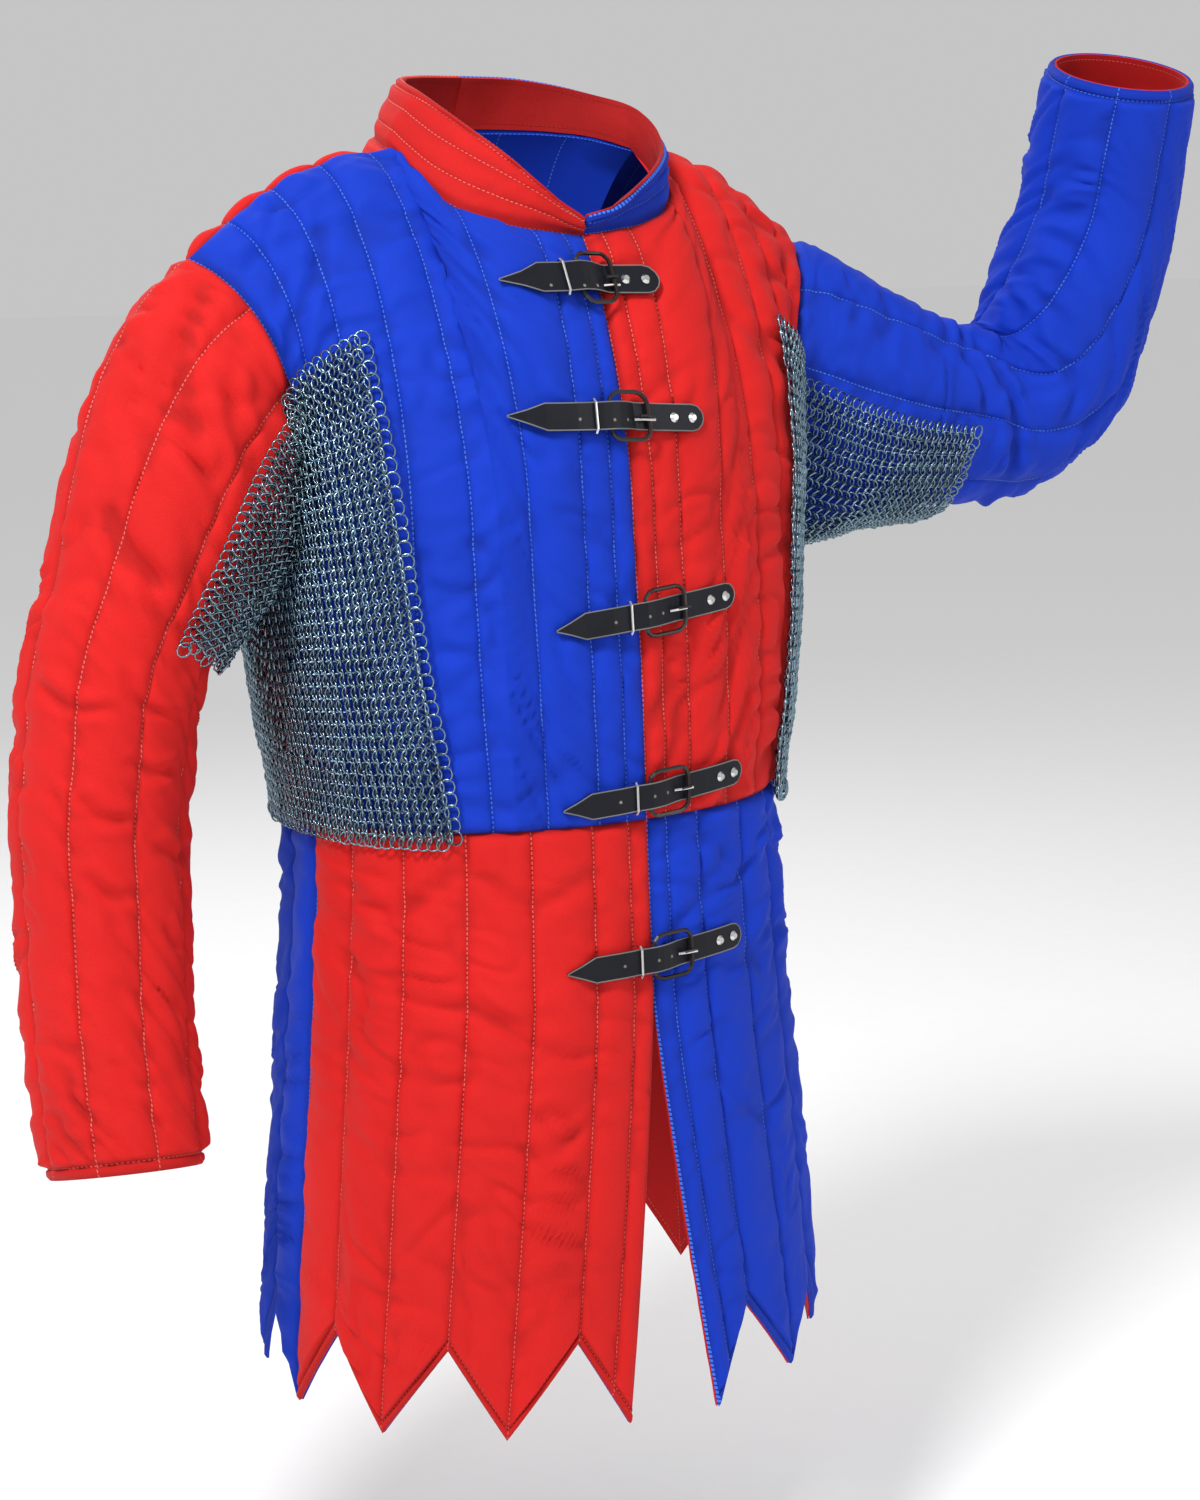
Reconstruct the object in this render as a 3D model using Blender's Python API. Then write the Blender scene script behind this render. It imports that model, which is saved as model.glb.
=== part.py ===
"""Quartered gambeson with mail at the armpits, worn form, front towards -Y, wearer's left at +X.

Metres, +Z up. The origin is the point on the wearer's shoulder line, between the shoulders, that
carries the garment. Every cloth panel is a padded wall: a plain inner face, computed from named
sections, and an outer face raised into stitched channels.
"""
import math

import bmesh
import bpy
import numpy as np
from mathutils import Vector

# Overall sizes
WAIST_Z = -0.484
NOTCH_Z = -0.868
TIP_Z = -0.936
SLIT_TOP_Z = -0.615
RING_POWER = 2.3

# Padding and cloth thickness
SEAM_THICK = 0.0026
STITCH_THICK = 0.0038
CROWN_THICK = 0.0085
NEAR_SEAM_THICK = 0.0026
NEXT_SEAM_THICK = 0.0044
LINING_THICK = 0.0012
SEAM_GAP = 0.0002
PANEL_WIDTH = 0.29
SKIRT_WIDTH = 0.30
LAYER_GAP = 0.0004
MAIL_LIFT = 0.0030
MAIL_THICK = 0.0026
MAIL_ARM_LIFT = 0.0040

# Channel counts and mesh steps
BODY_CHANNELS = 7
SKIRT_FRONT_CHANNELS = 6
SKIRT_BACK_CHANNELS = 7
SLEEVE_CHANNELS = 8
COLLAR_BANDS = 3
EDGE_STRIP = 0.018
ARMHOLE_STEPS = 12
SIDE_STEPS = 6
SKIRT_STEPS = 11
SLEEVE_STEPS = 26
CHEST_SHARE = ARMHOLE_STEPS / (ARMHOLE_STEPS + SIDE_STEPS)

# Body sections below the chest: height, half width, half depth (inner face)
BODY_SECTIONS = (
    (-0.960, 0.221, 0.189),
    (-0.900, 0.217, 0.185),
    (-0.750, 0.205, 0.174),
    (-0.600, 0.192, 0.164),
    (-0.484, 0.186, 0.159),
    (-0.380, 0.204, 0.156),
    (-0.270, 0.213, 0.148),
)

# Neck edge of a front: share across, x, y, z, from the front's centre to the shoulder seam
FRONT_NECK = (
    (0.00, 0.000, -0.088, -0.060),
    (0.11, 0.031, -0.086, -0.057),
    (0.20, 0.062, -0.080, -0.052),
    (0.27, 0.088, -0.067, -0.042),
    (0.31, 0.101, -0.046, -0.029),
    (0.34, 0.107, -0.022, -0.012),
    (0.37, 0.108, 0.001, 0.003),
)

# Neck edge of a back, from the back's centre to the shoulder seam
BACK_NECK = (
    (0.00, 0.000, 0.090, 0.019),
    (0.15, 0.042, 0.084, 0.019),
    (0.26, 0.076, 0.064, 0.017),
    (0.33, 0.097, 0.036, 0.012),
    (0.37, 0.108, 0.001, 0.003),
)

# Shoulder seam, from the neck to the armhole
SHOULDER = (
    (0.37, 0.108, 0.001, 0.003),
    (0.53, 0.152, 0.006, -0.005),
    (0.68, 0.192, 0.010, -0.021),
    (0.82, 0.226, 0.012, -0.042),
    (1.00, 0.266, 0.014, -0.073),
)
NECK_SHARE = 0.37

# Handles that shape a column from its top edge to the chest section:
# share across, then the top handle's x, y, z and the chest handle's x, y, z
FRONT_HANDLES = (
    (0.00, 0.000, -0.030, -0.045, 0.000, 0.000, 0.070),
    (0.37, 0.000, -0.060, -0.030, 0.000, 0.000, 0.090),
    (0.70, -0.010, -0.075, -0.030, 0.000, -0.012, 0.090),
    (0.85, -0.018, -0.078, -0.029, -0.008, -0.028, 0.088),
    (0.93, -0.024, -0.080, -0.028, -0.012, -0.040, 0.088),
    (1.00, -0.030, -0.084, -0.027, -0.016, -0.056, 0.090),
)
BACK_HANDLES = (
    (0.00, 0.000, 0.030, -0.050, 0.000, 0.006, 0.100),
    (0.37, 0.000, 0.052, -0.026, 0.000, 0.006, 0.100),
    (0.70, -0.010, 0.084, -0.022, 0.000, 0.018, 0.100),
    (0.85, -0.018, 0.084, -0.024, -0.008, 0.034, 0.088),
    (0.93, -0.024, 0.086, -0.025, -0.012, 0.048, 0.088),
    (1.00, -0.030, 0.090, -0.026, -0.016, 0.066, 0.090),
)
CHEST_Z = -0.270
UNDERARM_DROP = 0.030

# Arm sections, for an arm on the +X side: share along, centre x, y, z, lean from level (degrees),
# swing to the front (degrees), half height, half depth of the inner face
RIGHT_ARM = (
    (0.00, 0.241, 0.004, -0.186, -14, 0, 0.117, 0.066),
    (0.08, 0.268, 0.002, -0.216, -27, 0, 0.084, 0.064),
    (0.16, 0.296, 0.002, -0.262, -43, 0, 0.067, 0.063),
    (0.24, 0.319, 0.005, -0.303, -57, 0, 0.0600, 0.061),
    (0.32, 0.335, 0.010, -0.340, -68, -4, 0.058, 0.059),
    (0.40, 0.344, 0.014, -0.374, -77, -4, 0.057, 0.058),
    (0.50, 0.349, 0.016, -0.415, -82, -2, 0.056, 0.058),
    (0.60, 0.355, 0.018, -0.470, -86, 2, 0.056, 0.057),
    (0.70, 0.358, 0.010, -0.530, -87, 7, 0.055, 0.056),
    (0.80, 0.363, 0.000, -0.596, -87, 11, 0.053, 0.055),
    (0.90, 0.368, -0.018, -0.657, -86, 15, 0.052, 0.054),
    (1.00, 0.370, -0.035, -0.715, -86, 15, 0.052, 0.054),
)
LEFT_ARM = (
    (0.00, 0.241, 0.004, -0.186, -14, 0, 0.117, 0.066),
    (0.07, 0.275, 0.003, -0.190, -8, 0, 0.103, 0.066),
    (0.14, 0.310, 0.001, -0.196, -3, 0, 0.090, 0.066),
    (0.22, 0.351, 0.000, -0.203, -3, 0, 0.081, 0.064),
    (0.30, 0.395, -0.002, -0.210, -3, 2, 0.073, 0.062),
    (0.37, 0.430, -0.004, -0.214, 2, 3, 0.069, 0.061),
    (0.44, 0.460, -0.007, -0.215, 12, 5, 0.067, 0.061),
    (0.50, 0.486, -0.015, -0.205, 30, 8, 0.066, 0.061),
    (0.56, 0.506, -0.023, -0.184, 50, 11, 0.066, 0.061),
    (0.62, 0.520, -0.033, -0.150, 68, 14, 0.066, 0.061),
    (0.70, 0.530, -0.045, -0.098, 84, 16, 0.064, 0.060),
    (0.78, 0.538, -0.058, -0.045, 90, 17, 0.061, 0.058),
    (0.89, 0.531, -0.080, 0.015, 93, 18, 0.058, 0.057),
    (1.00, 0.524, -0.100, 0.063, 94, 18, 0.055, 0.056),
)
ARMHOLE_BLEND = 0.30
UNDERARM_BLEND = 0.045

# Lower pieces: twist, slits, mail and fastenings
# Collar top edges: share round from the back's centre, x, y, z
COLLAR_TOP_RIGHT = (
    (0.00, 0.000, 0.076, 0.062),
    (0.20, 0.046, 0.066, 0.061),
    (0.38, 0.074, 0.036, 0.056),
    (0.52, 0.078, 0.000, 0.044),
    (0.66, 0.066, -0.040, 0.020),
    (0.80, 0.046, -0.070, -0.005),
    (0.90, 0.032, -0.082, -0.022),
    (0.96, 0.018, -0.088, -0.036),
    (1.00, 0.002, -0.091, -0.046),
)
COLLAR_TOP_LEFT = (
    (0.00, 0.000, 0.076, 0.062),
    (0.20, 0.050, 0.070, 0.060),
    (0.38, 0.092, 0.046, 0.050),
    (0.52, 0.114, 0.008, 0.036),
    (0.66, 0.112, -0.032, 0.012),
    (0.80, 0.082, -0.074, -0.008),
    (0.90, 0.049, -0.094, -0.026),
    (0.96, 0.025, -0.099, -0.040),
    (1.00, 0.002, -0.095, -0.046),
)
COLLECTION_NAME = "gambeson"
# Thinner walls near seams: below the top edge, under the arm and above the neck
TOP_THICK = 0.0034
BELOW_TOP_THICK = 0.0050
UNDERARM_THICKS = (0.0016, 0.0030, 0.0055)
COLLAR_BASE_THICKS = (0.0022, 0.0038)
LEFT_TWIST = math.radians(45)
SLIT_HALF_LEFT = 0.095
SLIT_HALF_RIGHT = 0.125
FLARE_LEFT = 0.012
CUFF_LINING_ROWS = 2
COLLAR_CROWN = 0.0060
MAIL_BRIDGE = 0.070
MAIL_ROWS = (7, 8, 10, 12, 14, 16, 18)
MAIL_COLUMNS = 5
MAIL_FRONT_EDGE = (14.8, 12.0)
MAIL_ARM_ROWS = 8
MAIL_HANG = 0.014

# Fastenings from the neck down: height at the front edge, reach of the tip to the wearer's right,
# reach of the riveted end to the wearer's left, buckle's offset, tilt (degrees)
FASTENINGS = (
    (-0.096, 0.077, 0.044, -0.0085, -1.7),
    (-0.1915, 0.0895, 0.061, -0.003, -3.2),
    (-0.333, 0.0705, 0.084, 0.016, 5.1),
    (-0.4645, 0.073, 0.0905, 0.014, 4.1),
    (-0.5865, 0.076, 0.0845, 0.012, 2.8),
)
STRAP_HALF = 0.0095
STRAP_THICK = 0.0024
STRAP_POINT = 0.022
CHAPE_HALF = 0.0085
CHAPE_THICK = 0.0020
CHAPE_REACH = 0.043
FRAME_HALF_LENGTH = 0.0170
FRAME_HALF_HEIGHT = 0.0165
FRAME_CORNER = 0.0080
FRAME_WIRE = 0.0017
KEEPER_OFFSET = 0.030
KEEPER_WIRE = 0.0009
PRONG_WIRE = 0.0010
RIVET_RADIUS = 0.0038
RIVET_HEIGHT = 0.0020
RIVET_SETBACKS = (0.0095, 0.0245)
PIECE_GAP = 0.0004


def smooth_table(table, x):
    """Values of a table's later columns at x, on a smooth curve through its rows."""
    rows = np.asarray(table, float)
    keys = rows[:, 0]
    values = rows[:, 1:]
    x = np.clip(np.asarray(x, float), keys[0], keys[-1])
    slopes = np.gradient(values, keys, axis=0)
    low = np.clip(np.searchsorted(keys, x, side="right") - 1, 0, len(keys) - 2)
    span = (keys[low + 1] - keys[low])[..., None]
    t = (x - keys[low])[..., None] / span
    start = (2 * t**3 - 3 * t**2 + 1) * values[low] + (t**3 - 2 * t**2 + t) * span * slopes[low]
    end = (3 * t**2 - 2 * t**3) * values[low + 1] + (t**3 - t**2) * span * slopes[low + 1]
    return start + end


def smoothstep(t):
    """Rise from 0 to 1 with level ends."""
    t = np.clip(t, 0.0, 1.0)
    return t * t * (3.0 - 2.0 * t)


def unit(vectors):
    """Vectors scaled to length 1."""
    return vectors / np.maximum(np.linalg.norm(vectors, axis=-1, keepdims=True), 1e-12)


def quarter_ring(z, share):
    """Front quarter of the body's section at z: x and depth at a share of its length from x = 0."""
    z, share = np.broadcast_arrays(np.asarray(z, float), np.asarray(share, float))
    half = smooth_table(BODY_SECTIONS, z)
    phi = np.linspace(0.0, math.pi / 2, 41)
    across = np.sin(phi) ** (2 / RING_POWER)
    deep = np.cos(phi) ** (2 / RING_POWER)
    xs = half[..., 0:1] * across
    ys = half[..., 1:2] * deep
    steps = np.hypot(np.diff(xs, axis=-1), np.diff(ys, axis=-1))
    reach = np.concatenate([np.zeros(steps.shape[:-1] + (1,)), np.cumsum(steps, axis=-1)], axis=-1)
    goal = np.clip(share, 0.0, 1.0)[..., None] * reach[..., -1:]
    low = np.clip((reach <= goal).sum(axis=-1) - 1, 0, len(phi) - 2)[..., None]
    r0 = np.take_along_axis(reach, low, -1)
    r1 = np.take_along_axis(reach, low + 1, -1)
    t = (goal - r0) / (r1 - r0)
    x = np.take_along_axis(xs, low, -1) * (1 - t) + np.take_along_axis(xs, low + 1, -1) * t
    y = np.take_along_axis(ys, low, -1) * (1 - t) + np.take_along_axis(ys, low + 1, -1) * t
    return x[..., 0], y[..., 0]


class Upper:
    """Inner face of one upper panel on the +X side, from its top edge down to the waist."""

    def __init__(self, front):
        self.neck = FRONT_NECK if front else BACK_NECK
        self.handles = FRONT_HANDLES if front else BACK_HANDLES
        self.sign = -1.0 if front else 1.0

    def point(self, u, v):
        """Point at share u across and share v down."""
        u, v = np.broadcast_arrays(np.asarray(u, float), np.asarray(v, float))
        on_neck = (u <= NECK_SHARE)[..., None]
        start = np.where(on_neck, smooth_table(self.neck, u), smooth_table(SHOULDER, u))
        handle = smooth_table(self.handles, u)
        chest_z = CHEST_Z - UNDERARM_DROP * u**2
        x, y = quarter_ring(chest_z, u)
        end = np.stack([x, self.sign * y, chest_z], -1)
        t = np.clip(v / CHEST_SHARE, 0.0, 1.0)[..., None]
        curve = ((1 - t) ** 3 * start + 3 * t * (1 - t) ** 2 * (start + handle[..., :3])
                 + 3 * t**2 * (1 - t) * (end + handle[..., 3:]) + t**3 * end)
        down = np.clip((v - CHEST_SHARE) / (1 - CHEST_SHARE), 0.0, 1.0)
        z = chest_z + (WAIST_Z - chest_z) * down
        x, y = quarter_ring(z, u)
        side = np.stack([x, self.sign * y, z], -1)
        return np.where((v <= CHEST_SHARE)[..., None], curve, side)


def hem_height(beat):
    """Height of the dagged hem; beat counts half dags from a tip."""
    fall = 1.0 - np.abs((np.asarray(beat, float) % 2.0) - 1.0)
    return TIP_Z + (NOTCH_Z - TIP_Z) * fall


class Skirt:
    """Inner face of one skirt panel on the +X side, from the waist to the dagged hem."""

    def __init__(self, front, slit_half=0.0, flare=0.0):
        self.front = front
        self.sign = -1.0 if front else 1.0
        self.slit_half = slit_half
        self.flare = flare

    def beat(self, u):
        """Half dags from the tip at the slit, or from the tip at the side on a back."""
        if self.front:
            return SKIRT_FRONT_CHANNELS * u
        return SKIRT_BACK_CHANNELS * (1.0 - u)

    def point(self, u, v):
        """Point at share u across and share v down."""
        u, v = np.broadcast_arrays(np.asarray(u, float), np.asarray(v, float))
        z = WAIST_Z + (hem_height(self.beat(u)) - WAIST_Z) * v
        open_share = np.clip((SLIT_TOP_Z - z) / (SLIT_TOP_Z - TIP_Z), 0.0, 1.0) ** 1.1
        first = self.slit_half * open_share
        x, y = quarter_ring(z, first + (1 - first) * u)
        near = np.clip(1 - u / 0.3, 0.0, 1.0) ** 2
        y = y + self.flare * near * open_share
        return np.stack([x, self.sign * y, z], -1)


class Sleeve:
    """Inner face of one sleeve on the +X side; a runs round from the shoulder by the front."""

    def __init__(self, sections, twist):
        self.sections = sections
        self.twist = twist
        self.front = Upper(True)
        self.back = Upper(False)

    def armhole(self, a):
        """Point of the armhole seam."""
        a = np.asarray(a, float) % 1.0
        v = np.where(a <= 0.5, a, 1.0 - a) * 2.0 * CHEST_SHARE
        ones = np.ones_like(a)
        front = self.front.point(ones, v)
        back = self.back.point(ones, v)
        return np.where((a <= 0.5)[..., None], front, back)

    def frame(self, s):
        """Centre, three axes and half sizes of the section at s."""
        row = smooth_table(self.sections, s)
        lean = np.radians(row[..., 3])
        swing = np.radians(row[..., 4])
        along = np.stack([np.cos(lean) * np.cos(swing), -np.sin(swing),
                          np.sin(lean) * np.cos(swing)], -1)
        high = np.stack([-np.sin(lean), np.zeros_like(lean), np.cos(lean)], -1)
        deep = np.cross(along, high)
        return row[..., :3], high, deep, along, row[..., 5], row[..., 6]

    def point(self, a, s):
        """Point at share a round and share s along."""
        a, s = np.broadcast_arrays(np.asarray(a, float), np.asarray(s, float))
        seam = self.armhole(a)
        centre0, high0, deep0, along0, _, _ = self.frame(np.zeros_like(s))
        offset = seam - centre0
        local = np.stack([(offset * high0).sum(-1), (offset * deep0).sum(-1),
                          (offset * along0).sum(-1)], -1)
        centre, high, deep, along, tall, wide = self.frame(s)
        angle = 2 * math.pi * a + self.twist * smoothstep((s - 0.3) / 0.5)
        low = (0.5 - 0.5 * np.cos(2 * math.pi * a)) ** 2
        blend = smoothstep(s / (ARMHOLE_BLEND + (UNDERARM_BLEND - ARMHOLE_BLEND) * low))
        e1 = (1 - blend) * local[..., 0] + blend * tall * np.cos(angle)
        e2 = (1 - blend) * local[..., 1] + blend * wide * np.sin(angle)
        e3 = (1 - blend) * local[..., 2]
        return (centre + e1[..., None] * high + e2[..., None] * deep + e3[..., None] * along)


class Collar:
    """Inner face of one collar half on the +X side; u from the back's centre, v up."""

    def __init__(self, top, ease, bulge):
        self.top = top
        self.ease = ease
        self.bulge = bulge

    def base(self, u):
        """Point of the neck seam."""
        u = np.asarray(u, float)
        back = smooth_table(BACK_NECK, NECK_SHARE * np.clip(u / 0.5, 0, 1))
        front = smooth_table(FRONT_NECK, NECK_SHARE * np.clip((1 - u) / 0.5, 0, 1))
        return np.where((u < 0.5)[..., None], back, front)

    def point(self, u, v):
        """Point at share u round and share v up."""
        u, v = np.broadcast_arrays(np.asarray(u, float), np.asarray(v, float))
        low = self.base(u)
        high = smooth_table(self.top, u)
        bulge = self.bulge * np.sin(math.pi * v)
        rise = np.stack([v**self.ease, v**self.ease, v], -1)
        outward = unit(np.stack([low[..., 0], low[..., 1], np.zeros_like(v)], -1))
        return low + (high - low) * rise + outward * bulge[..., None]


def channel_columns(channels, strip_share):
    """Shares across a panel: its edges, each channel's stitch lines and two points between."""
    lines = [0.0]
    if strip_share > 0:
        lines.append(strip_share)
    for k in range(1, channels + 1):
        lines.append(k / channels if strip_share == 0 or k == channels
                     else max(k / channels, strip_share + 0.02))
    columns = []
    marks = []
    for first, second in zip(lines[:-1], lines[1:]):
        marks.append(len(columns))
        columns.append(first)
        if first == 0.0 and strip_share > 0:
            continue
        columns.append(first + (second - first) * 0.3)
        columns.append(first + (second - first) * 0.7)
    marks.append(len(columns))
    columns.append(1.0)
    return np.array(columns), marks


def body_columns():
    """Columns of an upper panel, with one at the neck's corner."""
    columns, marks = channel_columns(BODY_CHANNELS, EDGE_STRIP / PANEL_WIDTH)
    columns[np.abs(columns - NECK_SHARE).argmin()] = NECK_SHARE
    return columns, marks


def inner_columns():
    """Columns kept on an upper panel's plain inside: all by the neck, stitch lines past it."""
    columns, marks = body_columns()
    corner = int(np.searchsorted(columns, NECK_SHARE))
    return sorted(set(marks) | set(range(corner + 1)))


def collar_columns():
    """Shares round a collar half that meet the neck's own points."""
    columns = body_columns()[0]
    neck = columns[columns <= NECK_SHARE] / NECK_SHARE * 0.5
    return np.concatenate([neck, 1.0 - neck[-2::-1]])


def grid_normals(points, wrap=False):
    """Unit normals of a grid of points, not yet turned outward."""
    down = np.gradient(points, axis=0)
    if wrap:
        across = (np.roll(points, -1, axis=1) - np.roll(points, 1, axis=1)) / 2
    else:
        across = np.gradient(points, axis=1)
    return unit(np.cross(across, down))


class Panel:
    """A sampled cloth panel: inner points, outward normals and thickness at each point."""

    def __init__(self, points, marks, outward, wrap=False):
        self.points = points
        self.marks = marks
        self.wrap = wrap
        normals = grid_normals(points, wrap)
        self.normals = normals if (normals * outward).sum() > 0 else -normals
        self.thick = np.full(points.shape[:2], CROWN_THICK)
        self.thick[:, marks[:-1] if wrap else marks] = STITCH_THICK

    def pinch(self, rows=(), columns=(), thick=SEAM_THICK):
        """Thin the wall along whole rows and columns where it is sewn or hemmed."""
        for row in rows:
            self.thick[row, :] = thick
        for column in columns:
            self.thick[:, column] = thick

    def thin(self, rows, columns, thick):
        """Keep some of the wall no thicker than a size, beside a seam in a hollow."""
        self.thick[rows, columns] = np.minimum(self.thick[rows, columns], thick)

    def pull_back(self, top=0.0, bottom=0.0, left=0.0, right=0.0):
        """Draw the panel's edges in, to part it from what is sewn to it."""
        edges = (((0, slice(None)), (1, slice(None)), top), ((-1, slice(None)), (-2, slice(None)), bottom),
                 ((slice(None), 0), (slice(None), 1), left), ((slice(None), -1), (slice(None), -2), right))
        moves = []
        for edge, inside, gap in edges:
            if gap:
                line = self.points[edge]
                along = unit(np.gradient(line, axis=0))
                if self.wrap:
                    along = unit(np.roll(line, -1, axis=0) - np.roll(line, 1, axis=0))
                inward = self.points[inside] - line
                inward = inward - along * (inward * along).sum(axis=-1, keepdims=True)
                moves.append((edge, unit(inward) * gap))
        for edge, move in moves:
            self.points[edge] = self.points[edge] + move

    def layer(self, lift):
        """Points moved out from the inner face by a distance."""
        return self.points + self.normals * lift

    def outer(self):
        """Outer face's points."""
        return self.points + self.normals * self.thick[..., None]


def add_object(name, vertices, faces, look, smooth=True):
    """Make a closed mesh object with outward faces."""
    shell = bmesh.new()
    made = [shell.verts.new(vertex) for vertex in vertices]
    for face in faces:
        shell.faces.new([made[index] for index in face])
    bmesh.ops.recalc_face_normals(shell, faces=shell.faces)
    mesh = bpy.data.meshes.new(name)
    shell.to_mesh(mesh)
    shell.free()
    mesh.materials.append(look)
    if smooth:
        mesh.shade_smooth()
        mesh.set_sharp_from_angle(angle=math.radians(50))
    piece = bpy.data.objects.new(name, mesh)
    bpy.data.collections[COLLECTION_NAME].objects.link(piece)
    return piece


def grid_faces(ids, wrap):
    """Quads of a grid of vertex numbers."""
    rows, columns = ids.shape
    faces = []
    for i in range(rows - 1):
        for j in range(columns if wrap else columns - 1):
            k = (j + 1) % columns
            faces.append((ids[i, j], ids[i, k], ids[i + 1, k], ids[i + 1, j]))
    return faces


def rim_faces(outer, inner, match, flips=0):
    """Triangles between a fine outer edge and a coarse inner edge, the first few flipped."""
    faces = []
    for k in range(len(inner) - 1):
        middle = (match[k] + match[k + 1] + (k < flips)) // 2
        for i in range(match[k], middle):
            faces.append((inner[k], outer[i], outer[i + 1]))
        faces.append((inner[k], outer[middle], inner[k + 1]))
        for i in range(middle, match[k + 1]):
            faces.append((inner[k + 1], outer[i], outer[i + 1]))
    return faces


def wall_object(name, outer, inner, rows, columns, look, wrap=False, flips=0):
    """Closed wall between an outer grid and an inner grid that holds only some rows and columns."""
    inner = inner[np.ix_(rows, columns)]
    outer_ids = np.arange(outer[..., 0].size).reshape(outer.shape[:2])
    inner_ids = outer_ids.size + np.arange(inner[..., 0].size).reshape(inner.shape[:2])
    vertices = np.concatenate([outer.reshape(-1, 3), inner.reshape(-1, 3)])
    faces = grid_faces(outer_ids, wrap) + grid_faces(inner_ids, wrap)
    around = list(columns)
    for edge in (0, -1):
        fine = list(outer_ids[edge])
        coarse = list(inner_ids[edge])
        if wrap:
            faces += rim_faces(fine + fine[:1], coarse + coarse[:1], around + [outer.shape[1]])
        else:
            faces += rim_faces(fine, coarse, around, flips if edge == 0 else 0)
            faces += rim_faces(list(outer_ids[:, edge]), list(inner_ids[:, edge]), list(rows))
    return add_object(name, vertices, faces, look)


def every(count, step):
    """Row numbers from 0 to count - 1 by a step, with the last one kept."""
    rows = list(range(0, count, step))
    if rows[-1] != count - 1:
        rows.append(count - 1)
    return rows


def mirror(points, side):
    """Points for the wearer's left (side 1) or right (side -1)."""
    return points * np.array([side, 1.0, 1.0])


def flat_object(name, panel, lift, thick, rows, columns, look, side, wrap=False):
    """Thin wall that follows some of a panel's points, from a lift outward by its thickness."""
    low = mirror(panel.layer(lift), side)[np.ix_(rows, columns)]
    high = mirror(panel.layer(lift + thick), side)[np.ix_(rows, columns)]
    return wall_object(name, high, low, range(low.shape[0]), range(low.shape[1]), look, wrap)


def make_upper(front):
    """Sample an upper panel."""
    columns, marks = body_columns()
    rows = np.linspace(0, 1, ARMHOLE_STEPS + SIDE_STEPS + 1)
    u, v = np.meshgrid(columns, rows)
    outward = np.array([0.3, -1.0 if front else 1.0, 0.3])
    return Panel(Upper(front).point(u, v), marks, outward)


def make_skirt(front, slit_half=0.0, flare=0.0):
    """Sample a skirt panel."""
    channels = SKIRT_FRONT_CHANNELS if front else SKIRT_BACK_CHANNELS
    columns, marks = channel_columns(channels, EDGE_STRIP / SKIRT_WIDTH if front else 0.0)
    u, v = np.meshgrid(columns, np.linspace(0, 1, SKIRT_STEPS + 1))
    outward = np.array([0.3, -1.0 if front else 1.0, 0.0])
    return Panel(Skirt(front, slit_half, flare).point(u, v), marks, outward)


def make_sleeve(sections, twist):
    """Sample a sleeve; its first section's points are the armhole's own."""
    count = 2 * ARMHOLE_STEPS
    a, s = np.meshgrid(np.arange(count) / count, np.linspace(0, 1, SLEEVE_STEPS + 1))
    sleeve = Sleeve(sections, twist)
    points = sleeve.point(a, s)
    marks = list(range(0, count + 1, count // SLEEVE_CHANNELS))
    panel = Panel(points, marks, np.zeros(3), wrap=True)
    outward = points - points.mean(axis=1, keepdims=True)
    if (panel.normals * outward).sum() < 0:
        panel.normals = -panel.normals
    return panel


def set_seam_normals(front, back, sleeve, collar):
    """Give pieces that are sewn together the same wall direction along each seam."""
    last = ARMHOLE_STEPS
    share = body_columns()[0]
    corner = int(np.searchsorted(share, NECK_SHARE))
    for k in range(corner + 1):
        for panel, j in ((back, k), (front, -1 - k)):
            joined = panel.normals[0, k] + collar.normals[0, j]
            if k == corner:
                joined = front.normals[0, k] + back.normals[0, k] + 2 * collar.normals[0, k]
            joined = unit(joined * np.array([k > 0, 1.0, 1.0]))
            collar.normals[0, j] = joined
            panel.normals[0, k] = joined
    front.normals[0, corner] = back.normals[0, corner]
    for panel in (front, back):
        tilt = unit(np.gradient(panel.points[0], axis=0))
        up = unit(np.stack([-tilt[:, 2], 0 * tilt[:, 0], tilt[:, 0]], -1))
        past = smoothstep((share - NECK_SHARE) / 0.14)[corner + 1:, None]
        neck = panel.normals[0, corner]
        panel.normals[0, corner + 1:] = unit(neck * (1 - past) + up[corner + 1:] * past)
        panel.normals[1:, 0] = unit(panel.normals[1:, 0] * np.array([0.0, 1.0, 1.0]))
        panel.normals[last + 1:, -1] = (1.0, 0.0, 0.0)
        panel.normals[-1] = unit(panel.normals[-1] * np.array([1.0, 1.0, 0.0]))
    count = 2 * last
    for i in range(last + 1):
        joined = front.normals[i, -1] + sleeve.normals[0, i]
        front.normals[i, -1] = unit(joined)
        sleeve.normals[0, i] = unit(joined)
    for i in range(1, last):
        joined = unit(back.normals[i, -1] + sleeve.normals[0, count - i])
        back.normals[i, -1] = joined
        sleeve.normals[0, count - i] = joined
    for i in (0, last):
        joined = unit(front.normals[i, -1] + back.normals[i, -1])
        front.normals[i, -1] = joined
        back.normals[i, -1] = joined
        sleeve.normals[0, i] = joined


def reset_scene():
    """Remove every object and make the garment's collection."""
    for piece in list(bpy.data.objects):
        bpy.data.objects.remove(piece, do_unlink=True)
    collection = bpy.data.collections.new(COLLECTION_NAME)
    bpy.context.scene.collection.children.link(collection)


def material(name, colour, roughness, metallic=0.0):
    """Principled material."""
    look = bpy.data.materials.new(name)
    look.use_nodes = True
    shader = look.node_tree.nodes["Principled BSDF"]
    shader.inputs["Base Color"].default_value = (*colour, 1.0)
    shader.inputs["Roughness"].default_value = roughness
    shader.inputs["Metallic"].default_value = metallic
    return look


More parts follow.
